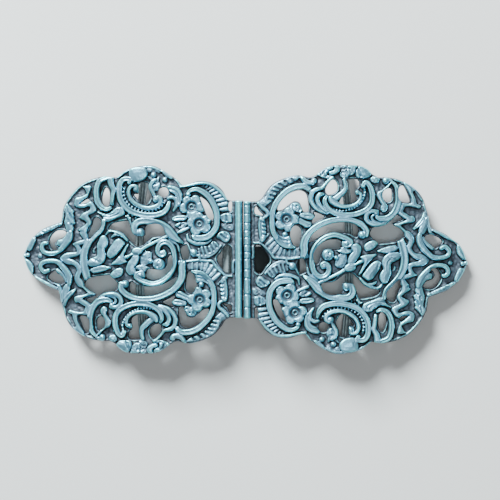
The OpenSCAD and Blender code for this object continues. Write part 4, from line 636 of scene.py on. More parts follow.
    def cut(self, outline, gaps):
        """Distance to the nearest edge, above zero in metal, and each node's nearest place on an edge."""
        inside = self.inside(outline)
        for gap in gaps:
            inside &= ~self.inside(gap)
        loops = [smooth_curve(loop, 0.04, True, straight=True) for loop in [outline] + gaps]
        dense = np.concatenate(loops)
        ahead = np.concatenate([heading(loop) for loop in loops])
        nodes, idx = self.near(dense, np.full(len(dense), EDGE_REACH))
        ahead = ahead[idx]
        dx, dy = self.offsets(nodes, dense[idx])
        slide = ahead[:, 0] * dx + ahead[:, 1] * dy
        self.edge = np.full(self.nx * self.ny, EDGE_REACH)
        self.edge[nodes] = np.abs(ahead[:, 0] * dy - ahead[:, 1] * dx)
        self.edge = self.edge.reshape(self.nx, self.ny) * np.where(inside, 1, -1)
        self.foot = np.stack([self.px.ravel(), self.py.ravel()], 1)
        self.foot[nodes] = dense[idx] + ahead * slide[:, None]


def smooth_curve(points, spacing, closed=False, straight=False):
    """Dense points on a smooth curve through the given ones, or on straight pieces between them."""
    points = np.asarray(points, float)
    n = len(points)
    out = []
    for i in range(n if closed else n - 1):
        p1, p2 = points[i], points[(i + 1) % n]
        p0 = points[i - 1] if closed or i else p1
        p3 = points[(i + 2) % n] if closed or i + 2 < n else p2
        steps = max(1, int(np.ceil(np.linalg.norm(p2[:2] - p1[:2]) / spacing)))
        t = (np.arange(steps) / steps)[:, None]
        if straight:
            out.append(p1 + (p2 - p1) * t)
        else:
            out.append(0.5 * (2 * p1 + (p2 - p0) * t + (2 * p0 - 5 * p1 + 4 * p2 - p3) * t ** 2
                              + (3 * p1 - p0 - 3 * p2 + p3) * t ** 3))
    if not closed:
        out.append(points[-1:])
    return np.concatenate(out)


def heading(loop):
    """Unit directions along a closed loop of dense points."""
    d = np.roll(loop, -1, axis=0) - np.roll(loop, 1, axis=0)
    return d / np.maximum(np.linalg.norm(d, axis=1), 1e-9)[:, None]


def soft_max(a, b, k):
    """The larger of two heights, with a fillet where they are within k of each other."""
    lap = np.clip(k - np.abs(a - b), 0, k) / k
    return np.maximum(a, b) + lap * lap * k / 4


def blur(field, radius, step):
    """Gaussian blur with a radius in millimetres."""
    r = radius / step
    taps = np.arange(-int(3 * r), int(3 * r) + 1)
    weights = np.exp(-taps ** 2 / (2 * r * r))
    weights /= weights.sum()
    for axis in (0, 1):
        across = np.arange(field.shape[axis])
        margin = [(len(taps) // 2,) * 2 if side == axis else (0, 0) for side in (0, 1)]
        wide = np.pad(field, margin, mode="edge")
        field = sum(w * np.take(wide, across + k, axis) for k, w in enumerate(weights))
    return field


def grain(shape, cell, seed):
    """Smooth value noise between -1 and 1 with a cell of so many grid steps."""
    rng = np.random.default_rng(seed)
    base = rng.uniform(-1, 1, [int(n / cell) + 3 for n in shape])
    fx, fy = np.arange(shape[0]) / cell, np.arange(shape[1]) / cell
    ix, iy = fx.astype(int), fy.astype(int)
    tx, ty = fx - ix, fy - iy
    tx, ty = (tx * tx * (3 - 2 * tx))[:, None], (ty * ty * (3 - 2 * ty))[None, :]
    a = base[np.ix_(ix, iy)] * (1 - tx) + base[np.ix_(ix + 1, iy)] * tx
    b = base[np.ix_(ix, iy + 1)] * (1 - tx) + base[np.ix_(ix + 1, iy + 1)] * tx
    return a * (1 - ty) + b * ty


# Ends of the rails along Y, in the units of v
RAIL_TOP, RAIL_BOTTOM = 62.5, -61.4
# Rail of each half: the distance of its middle from the joint, its half width, its squareness, the ties'
# depth and how far its top is worn bright, which is partly real wear and partly a painted highlight
RAILS = {"left": (0.93, 0.84, 2.7, 0, 0.42), "right": (0.87, 0.79, 3.4, 0.28, 0.05)}
# Places of the ties along a rail, and the two stretches with slanted cuts
TIES = (-57, -48.2, -38.6, -30.4, -23.2, -15.2, -7.8, -0.6, 10.6, 19.9, 36.9, 50.7)
SLANTS = ((-38.6, -23.2), (19.9, 36.9))
# Radius of the castings' upper edges
EDGE_ROUND = 0.4


def build_relief(side, half_l, half_w, edge_x, relief_h, web_t, step):
    """Relief of one casting: its heights, its edges, its surface and how open or hollow each place is; that
    last also carries painted shade on steep flanks and the worn rail's painted highlight.
    """
    rel = Relief(half_l, half_w, edge_x, relief_h, step)
    ends = [rel.place([(100 * edge_x / half_l, v)]) for v in (RAIL_TOP, RAIL_BOTTOM)]
    outline = np.concatenate([ends[0], smooth_curve(rel.place(OUTLINE), 0.2), ends[1]])
    rel.cut(outline, [smooth_curve(rel.place(gap), 0.1, True) for gap in GAPS])
    for row in FORMS:
        rel.form(*row)
    for row in STRANDS:
        rel.strand(*row)
    for row in DOMES:
        rel.dome(*row)
    for u0, v0, u1, v1, w in RIBS:
        middle = ((u0 + u1) / 2, (v0 + v1) / 2, w)
        rel.strand("round", 0.55, [(u0, v0, w * 0.75), middle, (u1, v1, w * 1.1)])
    for row in FLOWERS:
        rel.flower(*row)
    for row in CUTS:
        rel.groove(*row)
    for u, v, radius in PEARLS:
        rel.pearl(rel.place([(u, v)])[0], radius, 0.75)
    for band in BEAD_BANDS:
        rel.strand("flat", 0.45, [(u, v, 1.4) for u, v in band])
        rel.beads(band, 17, 0.38, 0.74)
    rail(rel, *RAILS[side])
    finish_ground(rel)
    # Steep flanks get a lower cavity, which paints their shade as dark outlines round the strands
    slope = np.hypot(*np.gradient(blur(rel.h, 0.06, step), step))
    rel.cavity = (rel.h - blur(rel.h, 0.32, step)) / 0.5 - 0.27 * np.clip(slope - 0.72, 0, 1.6) + rel.worn
    d = np.clip(rel.edge, 0, EDGE_ROUND)
    rel.surface = rel.h + web_t - EDGE_ROUND + np.sqrt(EDGE_ROUND ** 2 - (EDGE_ROUND - d) ** 2)
    return rel


def rail(rel, middle, half, square, tie_depth, worn):
    """The rail beside the joint: one rounded band with a low flank, cut across by ties on the right half."""
    flank_h, flank_x = 0.3, 2.3
    x = rel.px - rel.edge_x
    v = rel.py / rel.half_w * 100
    on = (v > RAIL_BOTTOM) & (v < RAIL_TOP)
    across = np.clip(np.abs(x - middle) / half, 0, 1)
    crest = 1.3 * (1 - across ** square) ** 0.5 - 0.05 * np.exp(-((x - middle - 0.4 * half) / 0.16) ** 2)
    flank = flank_h - np.maximum(x - flank_x, 0) * 1.5
    rel.h = np.where(on, np.maximum(soft_max(rel.h, flank, 0.15), crest), rel.h)
    band = on & (x < middle + half)
    # Worn rail top: raises the cavity towards the polish colour, partly real wear and partly a painted
    # highlight on the left rail
    rel.worn = worn * on * np.exp(-((x - middle - 0.1) / (0.75 * half)) ** 4)
    for tie in TIES:
        rel.h -= tie_depth * np.exp(-((rel.py - tie / 100 * rel.half_w) / 0.11) ** 2) * band
    for low, high in SLANTS:
        slant = np.abs(((rel.py + x * 1.1) / 0.85) % 1 - 0.5)
        rel.h -= 0.3 * tie_depth * np.clip(1 - slant / 0.16, 0, 1) * (band & (v > low) & (v < high))


def finish_ground(rel):
    """Lifts the ground between close bodies, raises a thin rim and adds the lumpy skin of a sand casting."""
    shape = rel.h.shape
    rel.h = soft_max(rel.h, 0.36 * blur(rel.h, 0.7, rel.step), 0.1)
    rel.h = soft_max(rel.h, 0.42 * np.exp(-((rel.edge - 0.24) / 0.17) ** 2), 0.05)
    low = np.clip(1.15 - rel.h / 0.9, 0, 1)
    rel.h += low * (0.07 * grain(shape, 3.4, 1) + 0.09 * grain(shape, 7, 2))
    rel.h += 0.016 * grain(shape, 2.2, 3) + 0.03 * grain(shape, 9, 4)


# Over the underside, the height of the turn in the walls and the least height of the upper side; then how
# far the walls' feet lean out
WALL_TURN, WALL_LOW, WALL_DRAFT = 0.22, 0.45, 0.14
# Spacing of the places on the back, in grid steps, and their distance from its edges
BACK_STEP, BACK_MARGIN = 5, 0.45


def arch(half_l, crown_z, tip_z):
    """Height of the castings' underside as a function of the distance from the centre line."""
    arch_r = (half_l ** 2 + (crown_z - tip_z) ** 2) / (2 * (crown_z - tip_z))
    return lambda x: crown_z - (arch_r - np.sqrt(arch_r ** 2 - x * x))


def casting_arrays(rel, side, under, web_t):
    """Closed mesh of a casting in metres: points, faces, and the height and cavity at each point, with the
    walls and the back given a low cavity for painted shade.
    """
    top, quads, edges, used = top_net(rel, under, web_t)
    ring = np.unique(edges)
    slot = np.full(len(top), -1)
    slot[ring] = np.arange(len(ring))
    e0, e1 = edges.T
    s0, s1 = slot[e0], slot[e1]

    # The wall goes down from the rim and leans out a little at its foot
    out = np.zeros((len(top), 2))
    along = top[e1, :2] - top[e0, :2]
    for end in (e0, e1):
        np.add.at(out, end, np.stack([along[:, 1], -along[:, 0]], 1))
    out = out[ring] / np.maximum(np.linalg.norm(out[ring], axis=1), 1e-9)[:, None]
    base, low = top[ring, :2], under(top[ring, 0])
    n1 = len(top)
    n2 = n1 + len(ring)
    turn_ring = np.column_stack([base, low + WALL_TURN])
    foot_ring = np.column_stack([base - out * WALL_DRAFT, low])
    walls = [np.stack([e1, e0, n1 + s0, n1 + s1], 1), np.stack([n1 + s1, n1 + s0, n2 + s0, n2 + s1], 1)]
    back, tris = back_net(rel, under, foot_ring[:, :2], np.stack([s0, s1], 1), n2)

    points = np.concatenate([top, turn_ring, foot_ring, back])
    lift = np.concatenate([rel.h[used], np.zeros(len(points) - len(top))])
    # Walls, wall feet and the back get fixed low cavity values, so the shader paints them dark as painted
    # shade
    hollow = np.concatenate([rel.cavity[used], np.full(len(ring), -0.25), np.full(len(ring), -0.1),
                             np.full(len(back), -0.2)])
    flip = np.array([-1, 1, 1]) if side == "left" else np.array([1, -1, 1])
    quads = np.concatenate([quads, *walls])[:, ::-1]
    return points * flip * MM, quads.tolist() + tris.tolist(), lift, hollow


def top_net(rel, under, web_t):
    """Points and quads of the relief's upper side, its border edges and the grid nodes that are used."""
    middle = (rel.edge[:-1, :-1] + rel.edge[1:, :-1] + rel.edge[:-1, 1:] + rel.edge[1:, 1:]) / 4
    cell = tidy_cells(middle > 0)
    count = np.zeros((rel.nx, rel.ny), int)
    for di in (0, 1):
        for dj in (0, 1):
            count[di:rel.nx - 1 + di, dj:rel.ny - 1 + dj] += cell
    used = count > 0
    rim = used & (count < 4)
    index = np.full((rel.nx, rel.ny), -1)
    index[used] = np.arange(used.sum())
    x, y = rel.px.copy(), rel.py.copy()
    foot = rel.foot.reshape(rel.nx, rel.ny, 2)
    x[rim], y[rim] = foot[rim].T
    height = rel.surface.copy()
    height[rim] = rel.sample(rel.h, x[rim], y[rim]) + web_t - EDGE_ROUND
    height = np.maximum(height, WALL_LOW)
    top = np.stack([x[used], y[used], under(x[used]) + height[used]], 1)
    i, j = np.nonzero(cell)
    quads = np.stack([index[i, j], index[i + 1, j], index[i + 1, j + 1], index[i, j + 1]], 1)

    # Each side of a kept cell with no kept cell beyond it, in the order of the cell's own corners
    wide = np.pad(cell, 1)
    edges = []
    for di, dj, a, b in ((0, -1, (0, 0), (1, 0)), (1, 0, (1, 0), (1, 1)),
                         (0, 1, (1, 1), (0, 1)), (-1, 0, (0, 1), (0, 0))):
        i, j = np.nonzero(cell & ~wide[1 + di:rel.nx + di, 1 + dj:rel.ny + dj])
        edges.append(np.stack([index[i + a[0], j + a[1]], index[i + b[0], j + b[1]]], 1))
    return top, quads, np.concatenate(edges), used


def back_net(rel, under, border, edges, first):
    """Inner points and triangles of the back, between the feet of the walls, counted from first."""
    i, j = np.meshgrid(np.arange(2, rel.nx, BACK_STEP), np.arange(2, rel.ny, BACK_STEP), indexing="ij")
    deep = rel.edge[i, j] > BACK_MARGIN
    inner = np.stack([rel.px[i, j][deep], rel.py[i, j][deep]], 1)
    flat = [Vector(p) for p in np.concatenate([border, inner])]
    made = geometry.delaunay_2d_cdt(flat, [tuple(e) for e in edges], [], 0, 1e-6)
    spots = np.array([tuple(p) for p in made[0]])
    tris = np.array(made[2])
    middle = spots[tris].mean(1)
    tris = tris[rel.sample(rel.edge, middle[:, 0], middle[:, 1]) > 0]
    source = np.array([o[0] if o else -1 for o in made[3]])
    on_border = (source >= 0) & (source < len(border))
    index = first + source
    index[~on_border] = first + len(border) + np.arange((~on_border).sum())
    x, y = spots[~on_border].T
    waves = 0.05 * np.sin(x * 2.1) * np.sin(y * 1.7)
    return np.column_stack([x, y, under(x) + 0.05 + waves]), index[tris]


def tidy_cells(cell):
    """Fills a cell at each corner contact between two cells, so that every edge has two faces."""
    cell = cell.copy()
    for _ in range(3):
        a, b, c, d = cell[:-1, :-1], cell[1:, :-1], cell[:-1, 1:], cell[1:, 1:]
        one = a & d & ~b & ~c
        two = b & c & ~a & ~d
        if not (one | two).any():
            break
        fill = np.zeros_like(cell)
        fill[1:, :-1] |= one
        fill[:-1, :-1] |= two
        cell |= fill
    return cell


def loft(loops):
    """Closed skin through loops with the same number of points, filled at both ends."""
    n = len(loops[0])
    faces = [(k * n + i, k * n + (i + 1) % n, (k + 1) * n + (i + 1) % n, (k + 1) * n + i)
             for k in range(len(loops) - 1) for i in range(n)]
    last = (len(loops) - 1) * n
    faces += [tuple(range(n))[::-1], tuple(range(last, last + n))]
    return np.concatenate(loops), faces


def circle():
    """Unit circle of thirty points."""
    turn = np.radians(np.arange(0, 360, 12))
    return np.stack([np.cos(turn), np.sin(turn)], 1)


def inset(profile, by):
    """Closed profile with its points moved inwards."""
    ahead = np.roll(profile, -1, axis=0) - np.roll(profile, 1, axis=0)
    ahead /= np.maximum(np.linalg.norm(ahead, axis=1), 1e-9)[:, None]
    after = np.roll(profile, -1, axis=0)
    turn = np.sum(profile[:, 0] * after[:, 1] - after[:, 0] * profile[:, 1])
    return profile + np.stack([-ahead[:, 1], ahead[:, 0]], 1) * by * np.sign(turn)


def rounded_ends(low, high, radius):
    """Stations between two ends, each with the inset of its profile, for ends that are rounded over."""
    first = [(low + radius * (1 - np.cos(a)), radius * (1 - np.sin(a))) for a in np.radians([0, 30, 60, 90])]
    return first + [(high + low - place, by) for place, by in reversed(first)]


def bar_mesh(f, side):
    """Bowed channel bar of one half, worn a little unevenly along its length."""
    w, floor = f.bar_w / 2, f.bar_h - f.groove_d
    g, h = f.groove_w / 2, f.bar_h
    half = [(0, floor), (g * 0.8, floor + 0.03), (g, floor + 0.12), (g + 0.05, h - 0.1), (g + 0.15, h),
            (w - 0.2, h), (w - 0.06, h - 0.08), (w, h - 0.24), (w, 0.22), (w - 0.08, 0.07), (w - 0.24, 0)]
    section = np.array(half + [(-a, b) for a, b in reversed(half[1:])])
    chord = f.slot / 2
    radius = (chord ** 2 + f.bar_bow ** 2) / (2 * f.bar_bow)
    reach = np.arcsin((chord + f.bar_in) / radius)
    loops = []
    for t in np.linspace(-reach, reach, 61):
        worn = 1 + 0.02 * np.sin(t * 290) + 0.015 * np.sin(t * 730 + 1)
        out = radius + section[:, 0] * worn
        x = f.bar_x + f.bar_bow - radius + out * np.cos(t)
        z = f.bar_z + section[:, 1] * (1 + 0.012 * np.sin(t * 410))
        loops.append(np.stack([x, out * np.sin(t), z], 1))
    points, faces = loft(loops)
    return points * np.array([-1, -1, 1] if side == "left" else [1, 1, 1]), faces


def hook_mesh(f, under):
    """Tongue of sheet metal, stepped down from the right half and curled round the catch bar."""
    t, end, nick, lean = f.hook_t, f.hook_x, 0.1, 0.3
    inner = f.catch_r + f.play
    outer = inner + t
    low, high = f.catch_z - outer, under(end) - 0.1 - t
    curl = np.radians(np.linspace(90, 270, 19))
    inside, outside = [[(r * np.cos(a) - f.catch_x, f.catch_z + r * np.sin(a)) for a in turn]
                       for r, turn in ((inner, curl[::-1]), (outer, curl))]
    ease = [(f.step_x + f.step_l * (s - 1), low + (high - low) * (3 * s * s - 2 * s ** 3))
            for s in np.linspace(0, 1, 7)]
    edge = [(end - nick, high), (end, high + nick), (end, high + t - nick), (end - nick, high + t)]
    back = [(x - lean, z + t) for x, z in reversed(ease)] + [(0, low + t)]
    profile = np.array(inside + outside + [(0, low)] + ease + edge + back)
    loops = []
    for y, by in rounded_ends(-f.hook_w / 2, f.hook_w / 2, 0.12):
        section = inset(profile, by)
        loops.append(np.stack([section[:, 0], np.full(len(section), y), section[:, 1]], 1))
    return loft(loops)


def rod_mesh(f):
    """Round catch bar with rounded ends and slight wear along its length."""
    half = f.catch_l / 2 + f.ear_w
    stations = rounded_ends(-half, half, 0.15)
    worn = [(y, 0.012 * (1 + np.sin(y * 2.3))) for y in np.linspace(-half + 0.5, half - 0.5, 25)]
    loops = []
    for y, by in stations[:4] + worn + stations[4:]:
        ring = circle() * (f.catch_r - by) + (-f.catch_x, f.catch_z)
        loops.append(np.stack([ring[:, 0], np.full(len(ring), y), ring[:, 1]], 1))
    return loft(loops)


def stub_mesh(x, y, length, width, low, high):
    """Cast lug: a block with rounded corners, drawn in a little towards its foot."""
    ring = circle()
    ring = np.sign(ring) * np.abs(ring) ** 0.3 * np.array([length / 2, width / 2])
    loops = []
    for z, by in rounded_ends(low, high, 0.16)[:4] + [((low + high) / 2, 0), (high, 0)]:
        draft = 0.97 + 0.03 * (z - low) / (high - low)
        spread = ring * draft * (1 - by / min(length, width) * 2)
        loops.append(np.column_stack([x + spread[:, 0], y + spread[:, 1], np.full(len(ring), z)]))
    return loft(loops)


def lug_meshes(f, side, under):
    """Feet of the belt bar, and on the left half the two ears of the catch bar, as one mesh."""
    way, root = (-1 if side == "left" else 1), 0.5
    rows = [(way * f.bar_x, s * (f.slot / 2 + f.lug_w / 2), f.lug_l, f.lug_w, 0, under(f.bar_x) + root)
            for s in (-1, 1)]
    if side == "left":
        rows += [(-f.catch_x, s * (f.catch_l + f.ear_w) / 2, f.ear_l, f.ear_w - 0.1, f.ear_z,
                  under(f.catch_x) + root) for s in (-1, 1)]
    points, faces, start = [], [], 0
    for row in rows:
        p, q = stub_mesh(*row)
        points.append(p)
        faces += [tuple(i + start for i in face) for face in q]
        start += len(p)
    return np.concatenate(points), faces


class Value:
    """A node socket that can be used in sums and products. Each operation adds a node."""

    def __init__(self, shader, socket):
        self.shader = shader
        self.socket = socket

    def math(self, operation, a, b):
        return self.shader.node("ShaderNodeMath", {"operation": operation}, _0=a, _1=b)

    def __add__(self, other):
        return self.math("ADD", self, other)

    def __mul__(self, other):
        return self.math("MULTIPLY", self, other)

    def __sub__(self, other):
        return self.math("SUBTRACT", self, other)

    def __rsub__(self, other):
        return self.math("SUBTRACT", other, self)

    def step(self, low, high):
        """Smooth rise from 0 at low to 1 at high."""
        return self.shader.node("ShaderNodeMapRange", {"interpolation_type": "SMOOTHSTEP"},
                                Value=self, From_Min=low, From_Max=high)


class Shader:
    """A material's node tree with one method that makes any node."""

    def __init__(self, name, roughness=0.5, metallic=0.0):
        self.material = bpy.data.materials.new(name)
        self.material.use_nodes = True
        self.tree = self.material.node_tree
        self.surface = self.tree.nodes["Principled BSDF"]
        self.surface.inputs["Roughness"].default_value = roughness
        self.surface.inputs["Metallic"].default_value = metallic

    def node(self, kind, settings=None, out=0, **sockets):
        """Adds a node, sets its settings first, then its sockets by name, and returns one of its outputs."""
        made = self.tree.nodes.new(kind)
        for key, value in (settings or {}).items():
            setattr(made, key, value)
        for key, value in sockets.items():
            slot = made.inputs[int(key[1:]) if key[0] == "_" else key.replace("_", " ")]
            if isinstance(value, Value):
                self.tree.links.new(value.socket, slot)
            else:
                slot.default_value = value
        return Value(self, made.outputs[out])

    def feed(self, name, value):
        self.tree.links.new(value.socket, self.surface.inputs[name])

    def place(self):
        return self.node("ShaderNodeTexCoord", out="Object")

    def noise(self, scale, detail, roughness):
        return self.node("ShaderNodeTexNoise", {}, "Fac", Vector=self.place(), Scale=scale, Detail=detail,
                         Roughness=roughness)

    def mix(self, factor, a, b):
        """Colour mix: a where factor is 0, b where it is 1."""
        return self.node("ShaderNodeMix", {"data_type": "RGBA", "clamp_factor": True}, 2,
                         _0=factor, _6=a, _7=b)

    def bump(self, strength, distance, height):
        """Feeds a small bump to the normal."""
        self.feed("Normal", self.node("ShaderNodeBump", {}, "Normal", Strength=strength, Distance=distance,
                                      Height=height))


def shaded(colour, share=1.0):
    """A colour made darker or lighter, with full opacity."""
    return (*[c * share for c in colour], 1)


def cast_silver(settings):
    """Antique silver: worn bright with a painted highlight on the relief's edges, tarnished dark with
    painted shade in the recesses, on the walls, on the back and on steep flanks, with casting grain.
    """
    s = Shader("cast_silver", metallic=settings.metallic)
    height = s.node("ShaderNodeAttribute", {"attribute_name": "relief"}, "Fac")
    # The hollow attribute is the cavity, with painted shade on the walls, the back and steep flanks and a
    # painted highlight on the worn rail
    hollow = s.node("ShaderNodeAttribute", {"attribute_name": "hollow"}, "Fac")
    cloud = s.noise(180.0, 4.0, 0.6)
    grain = s.noise(1500.0, 3.0, 0.6)
    raised = (height + hollow * 0.2 + (cloud - 0.5) * 0.5 + (grain - 0.5) * 0.3).step(0.3, 0.9)
    # Polish mask on convex edges: partly real wear, partly a painted highlight where light catches the rims,
    # plus the left rail's painted highlight
    worn = (hollow + (grain - 0.5) * 0.5 + (cloud - 0.5) * 0.4).step(0.06, 0.6)
    # Recess mask: tarnish in real hollows, plus painted shade in crevices, on the walls, on the back and on
    # steep flanks
    deep = (0.0 - hollow + (cloud - 0.5) * 0.3).step(0.12, 0.7)
    specks = s.noise(3200.0, 2.0, 0.6).step(0.58, 0.74) * 0.3
    tone = s.mix(grain.step(0.3, 0.7), shaded(settings.tarnish), shaded(settings.ground))
    tone = s.mix(raised, tone, shaded(settings.silver))
    tone = s.mix(worn, tone, shaded(settings.polish_and_highlight))
    tone = s.mix(deep, tone, shaded(settings.recess_and_shade))
    s.feed("Base Color", s.mix(specks, tone, shaded(settings.ground)))
    s.feed("Roughness", 0.55 - raised * 0.2 + (grain - 0.5) * 0.14)
    s.bump(0.35, 0.06 * MM, grain * 0.6 + s.noise(2600.0, 2.0, 0.5) * 0.4)
    return s.material


def dull_metal(settings, name, shade, shaded_past=None):
    """Dull plated wire and sheet with handling marks; past a given place along x the colour is painted near
    black as shade.
    """
    s = Shader(name, metallic=0.75)
    cloud = s.noise(240.0, 4.0, 0.6)
    grain = s.noise(1900.0, 2.0, 0.6)
    worn = (cloud * 0.7 + grain * 0.3).step(0.35, 0.7)
    tone = s.mix(worn, shaded(settings.wire, shade * 0.5), shaded(settings.wire, shade))
    if shaded_past is not None:
        # Past this place the hook plate is painted near black: painted shade in the gap beside the right
        # rail
        along = s.node("ShaderNodeSeparateXYZ", {}, "X", Vector=s.place()) + (cloud - 0.5) * MM
        tone = s.mix(along.step(shaded_past, shaded_past + 1.5 * MM), tone, shaded(settings.wire, 0.1))
    s.feed("Base Color", tone)
    s.feed("Roughness", 0.6 - worn * 0.18)
    s.bump(0.25, 0.04 * MM, grain)
    return s.material


def floor_finish(settings):
    """Pale plain floor with faint clouds."""
    s = Shader("pale_floor", roughness=0.75)
    cloud = s.noise(6.0, 4.0, 0.55)
    s.feed("Base Color", s.mix(cloud.step(0.3, 0.7), shaded(settings.floor, 0.95), shaded(settings.floor)))
    return s.material


# Turn between two faces of a fitting from which their edge is sharp, in degrees
CREASE = 50


def new_mesh(name, points, faces, material, collection):
    mesh = bpy.data.meshes.new(name)
    mesh.from_pydata([tuple(p) for p in points], [], faces)
    mesh.validate()
    piece = bpy.data.objects.new(name, mesh)
    mesh.materials.append(material)
    collection.objects.link(piece)
    return piece


def add_piece(context, name, points, faces, material, node, slot_name, attributes=None):
    """Makes a shaded piece that stands for a node of the frame, smooth all over if it has attributes."""
    piece = new_mesh(name, points, faces, material, context.scene.collection)
    mesh = piece.data
    if attributes is None:
        net = bmesh.new()
        net.from_mesh(mesh)
        bmesh.ops.recalc_face_normals(net, faces=net.faces)
        net.to_mesh(mesh)
        net.free()
    for key, values in (attributes or {}).items():
        layer = mesh.attributes.new(key, "FLOAT", "POINT")
        layer.data.foreach_set("value", np.asarray(values, np.float32))
    mesh.polygons.foreach_set("use_smooth", [True] * len(mesh.polygons))
    if attributes is None:
        mesh.set_sharp_from_angle(angle=np.radians(CREASE))
    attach(piece, "root")
    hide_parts(node)


def length(name, description, mm):
    return FloatProperty(name=name, description=description, default=mm * MM, unit="LENGTH")


def tint(name, description, default):
    return FloatVectorProperty(name=name, description=description, default=default, subtype="COLOR")


def power(name, description, default):
    return FloatProperty(name=name, description=description, default=default, subtype="POWER")


class Millimetres:
    """The lengths of a property group in millimetres."""

    def __init__(self, group):
        for key in group.__annotations__:
            setattr(self, key, getattr(group, key) / MM)


class BUCKLE_PG_casting(PropertyGroup):
    """Sizes of the castings."""
    crown: length("Crown height", "Height of the underside at the centre line", 5)
    tip: length("Tip height", "Height of the underside at the tips", 0.4)
    web: length("Ground thickness", "Thickness of the pierced ground", 1.2)
    relief: length("Relief height", "Greatest height of the relief over the ground", 1.35)
    gap: length("Gap", "Space between the two rails", 0.12)
    step: length("Grid step", "Spacing of the relief's points", 0.125)


class BUCKLE_PG_fittings(PropertyGroup):
    """Sizes of the belt bars, their lugs, the hook and the catch bar."""
    bar_x: length("Bar place", "Distance of a belt bar's ends from the centre line", 22.6)
    bar_w: length("Bar width", "Width of a belt bar", 1.8)
    bar_h: length("Bar height", "Height of a belt bar", 1.1)
    bar_z: length("Bar clearance", "Height of a belt bar over the table", 1)
    bar_bow: length("Bar bow", "Outward bow of a belt bar at its middle", 1.05)
    bar_in: length("Bar end", "Length of a belt bar's end inside its lug", 1.1)
    groove_w: length("Groove width", "Width of the groove along a belt bar", 0.6)
    groove_d: length("Groove depth", "Depth of that groove", 0.45)
    slot: length("Belt slot", "Clear length between the lugs of a belt bar", 36)
    lug_l: length("Lug length", "Length of a belt bar lug", 3.4)
    lug_w: length("Lug width", "Width of a belt bar lug", 2)
    ear_l: length("Ear length", "Length of a catch bar ear", 2.4)
    ear_w: length("Ear width", "Width of a catch bar ear", 1.6)
    ear_z: length("Ear foot", "Height of the ears' lower ends", 2.3)
    hook_w: length("Hook width", "Width of the hook plate", 5.8)
    hook_t: length("Hook thickness", "Thickness of the hook plate", 0.6)
    hook_x: length("Hook end", "Distance of the hook plate's fixed end from the centre line", 12.5)
    step_x: length("Step place", "Distance at which the hook plate starts to step down", 8)
    step_l: length("Step length", "Length of the hook plate's step", 1.6)
    catch_r: length("Catch radius", "Radius of the catch bar", 0.55)
    catch_x: length("Catch place", "Distance of the catch bar from the centre line", 3.5)
    catch_z: length("Catch height", "Height of the catch bar's axis", 3.55)
    catch_l: length("Catch length", "Clear length between the ears of the catch bar", 13)
    play: length("Play", "Space between the catch bar and the hook's curl", 0.15)


class BUCKLE_PG_finish(PropertyGroup):
    """Colours and gloss."""
    # Colour of the worn edges, which also paints their highlight
    polish_and_highlight: tint("Polish", "Colour of the worn edges", (0.27, 0.95, 1.0))
    silver: tint("Silver", "Colour of the relief", (0.27, 0.565, 0.74))
    ground: tint("Ground", "Colour of the ground between the relief", (0.17, 0.207, 0.26))
    tarnish: tint("Tarnish", "Colour of the tarnish spots on the ground", (0.10, 0.116, 0.142))
    # Near-black colour of the tarnish in the recesses, which also paints the shade there and on the walls
    # and back
    recess_and_shade: tint("Recess", "Colour of the deep recesses", (0.027, 0.029, 0.032))
    # Wire colour is kept light as painted light on the bars, which sit in the shade under the castings
    wire: tint("Wire", "Colour of the belt bars and the hook", (0.46, 0.52, 0.53))
    floor: tint("Floor", "Colour of the floor", (0.97, 0.89, 0.865))
    metallic: FloatProperty(name="Metallic", description="Metallic share of the castings", default=0.85,
                            min=0, max=1)


class BUCKLE_PG_stage(PropertyGroup):
    """Light and camera."""
    key: power("Key light", "Power of the key light in watts", 25.0)
    fill: power("Fill light", "Power of the fill light in watts", 1.5)
    light: tint("Light colour", "Colour of both lights", (0.81, 0.97, 1.0))
    air: tint("Surroundings colour", "Colour of the pale surroundings", (0.92, 0.96, 1.0))
    sky: FloatProperty(name="Surroundings", description="Strength of the pale surroundings", default=0.15)
    distance: length("Camera distance", "Distance of the camera from the buckle", 350)
    zoom: FloatProperty(name="Zoom", description="Lens in millimetres for each metre of distance",
                        default=321.5)
    lean: FloatProperty(name="Camera lean", description="Lean of the view towards the right end",
                        default=np.radians(2.45), unit="ROTATION")
    target: FloatVectorProperty(name="Camera target", description="Place in the middle of the picture",
                                default=(1.37 * MM, 2.1 * MM, 3 * MM), unit="LENGTH")


class BUCKLE_OT_castings(Operator):
    """Make the two pierced castings"""
    bl_idname = "buckle.castings"
    bl_label = "Castings"

    def execute(self, context):
        c = Millimetres(context.scene.buckle_casting)
        half_l, half_w = cad_high.x / MM, cad_high.y / MM
        finish = cast_silver(context.scene.buckle_finish)
        under = arch(half_l, c.crown, c.tip)
        for side in ("left", "right"):
            relief = build_relief(side, half_l, half_w, c.gap / 2, c.relief, c.web, c.step)
            points, faces, lift, hollow = casting_arrays(relief, side, under, c.web)
            add_piece(context, side + "_casting_relief", points, faces, finish, side + "_casting",
                      "cast_silver", {"relief": lift, "hollow": hollow})
        return {"FINISHED"}


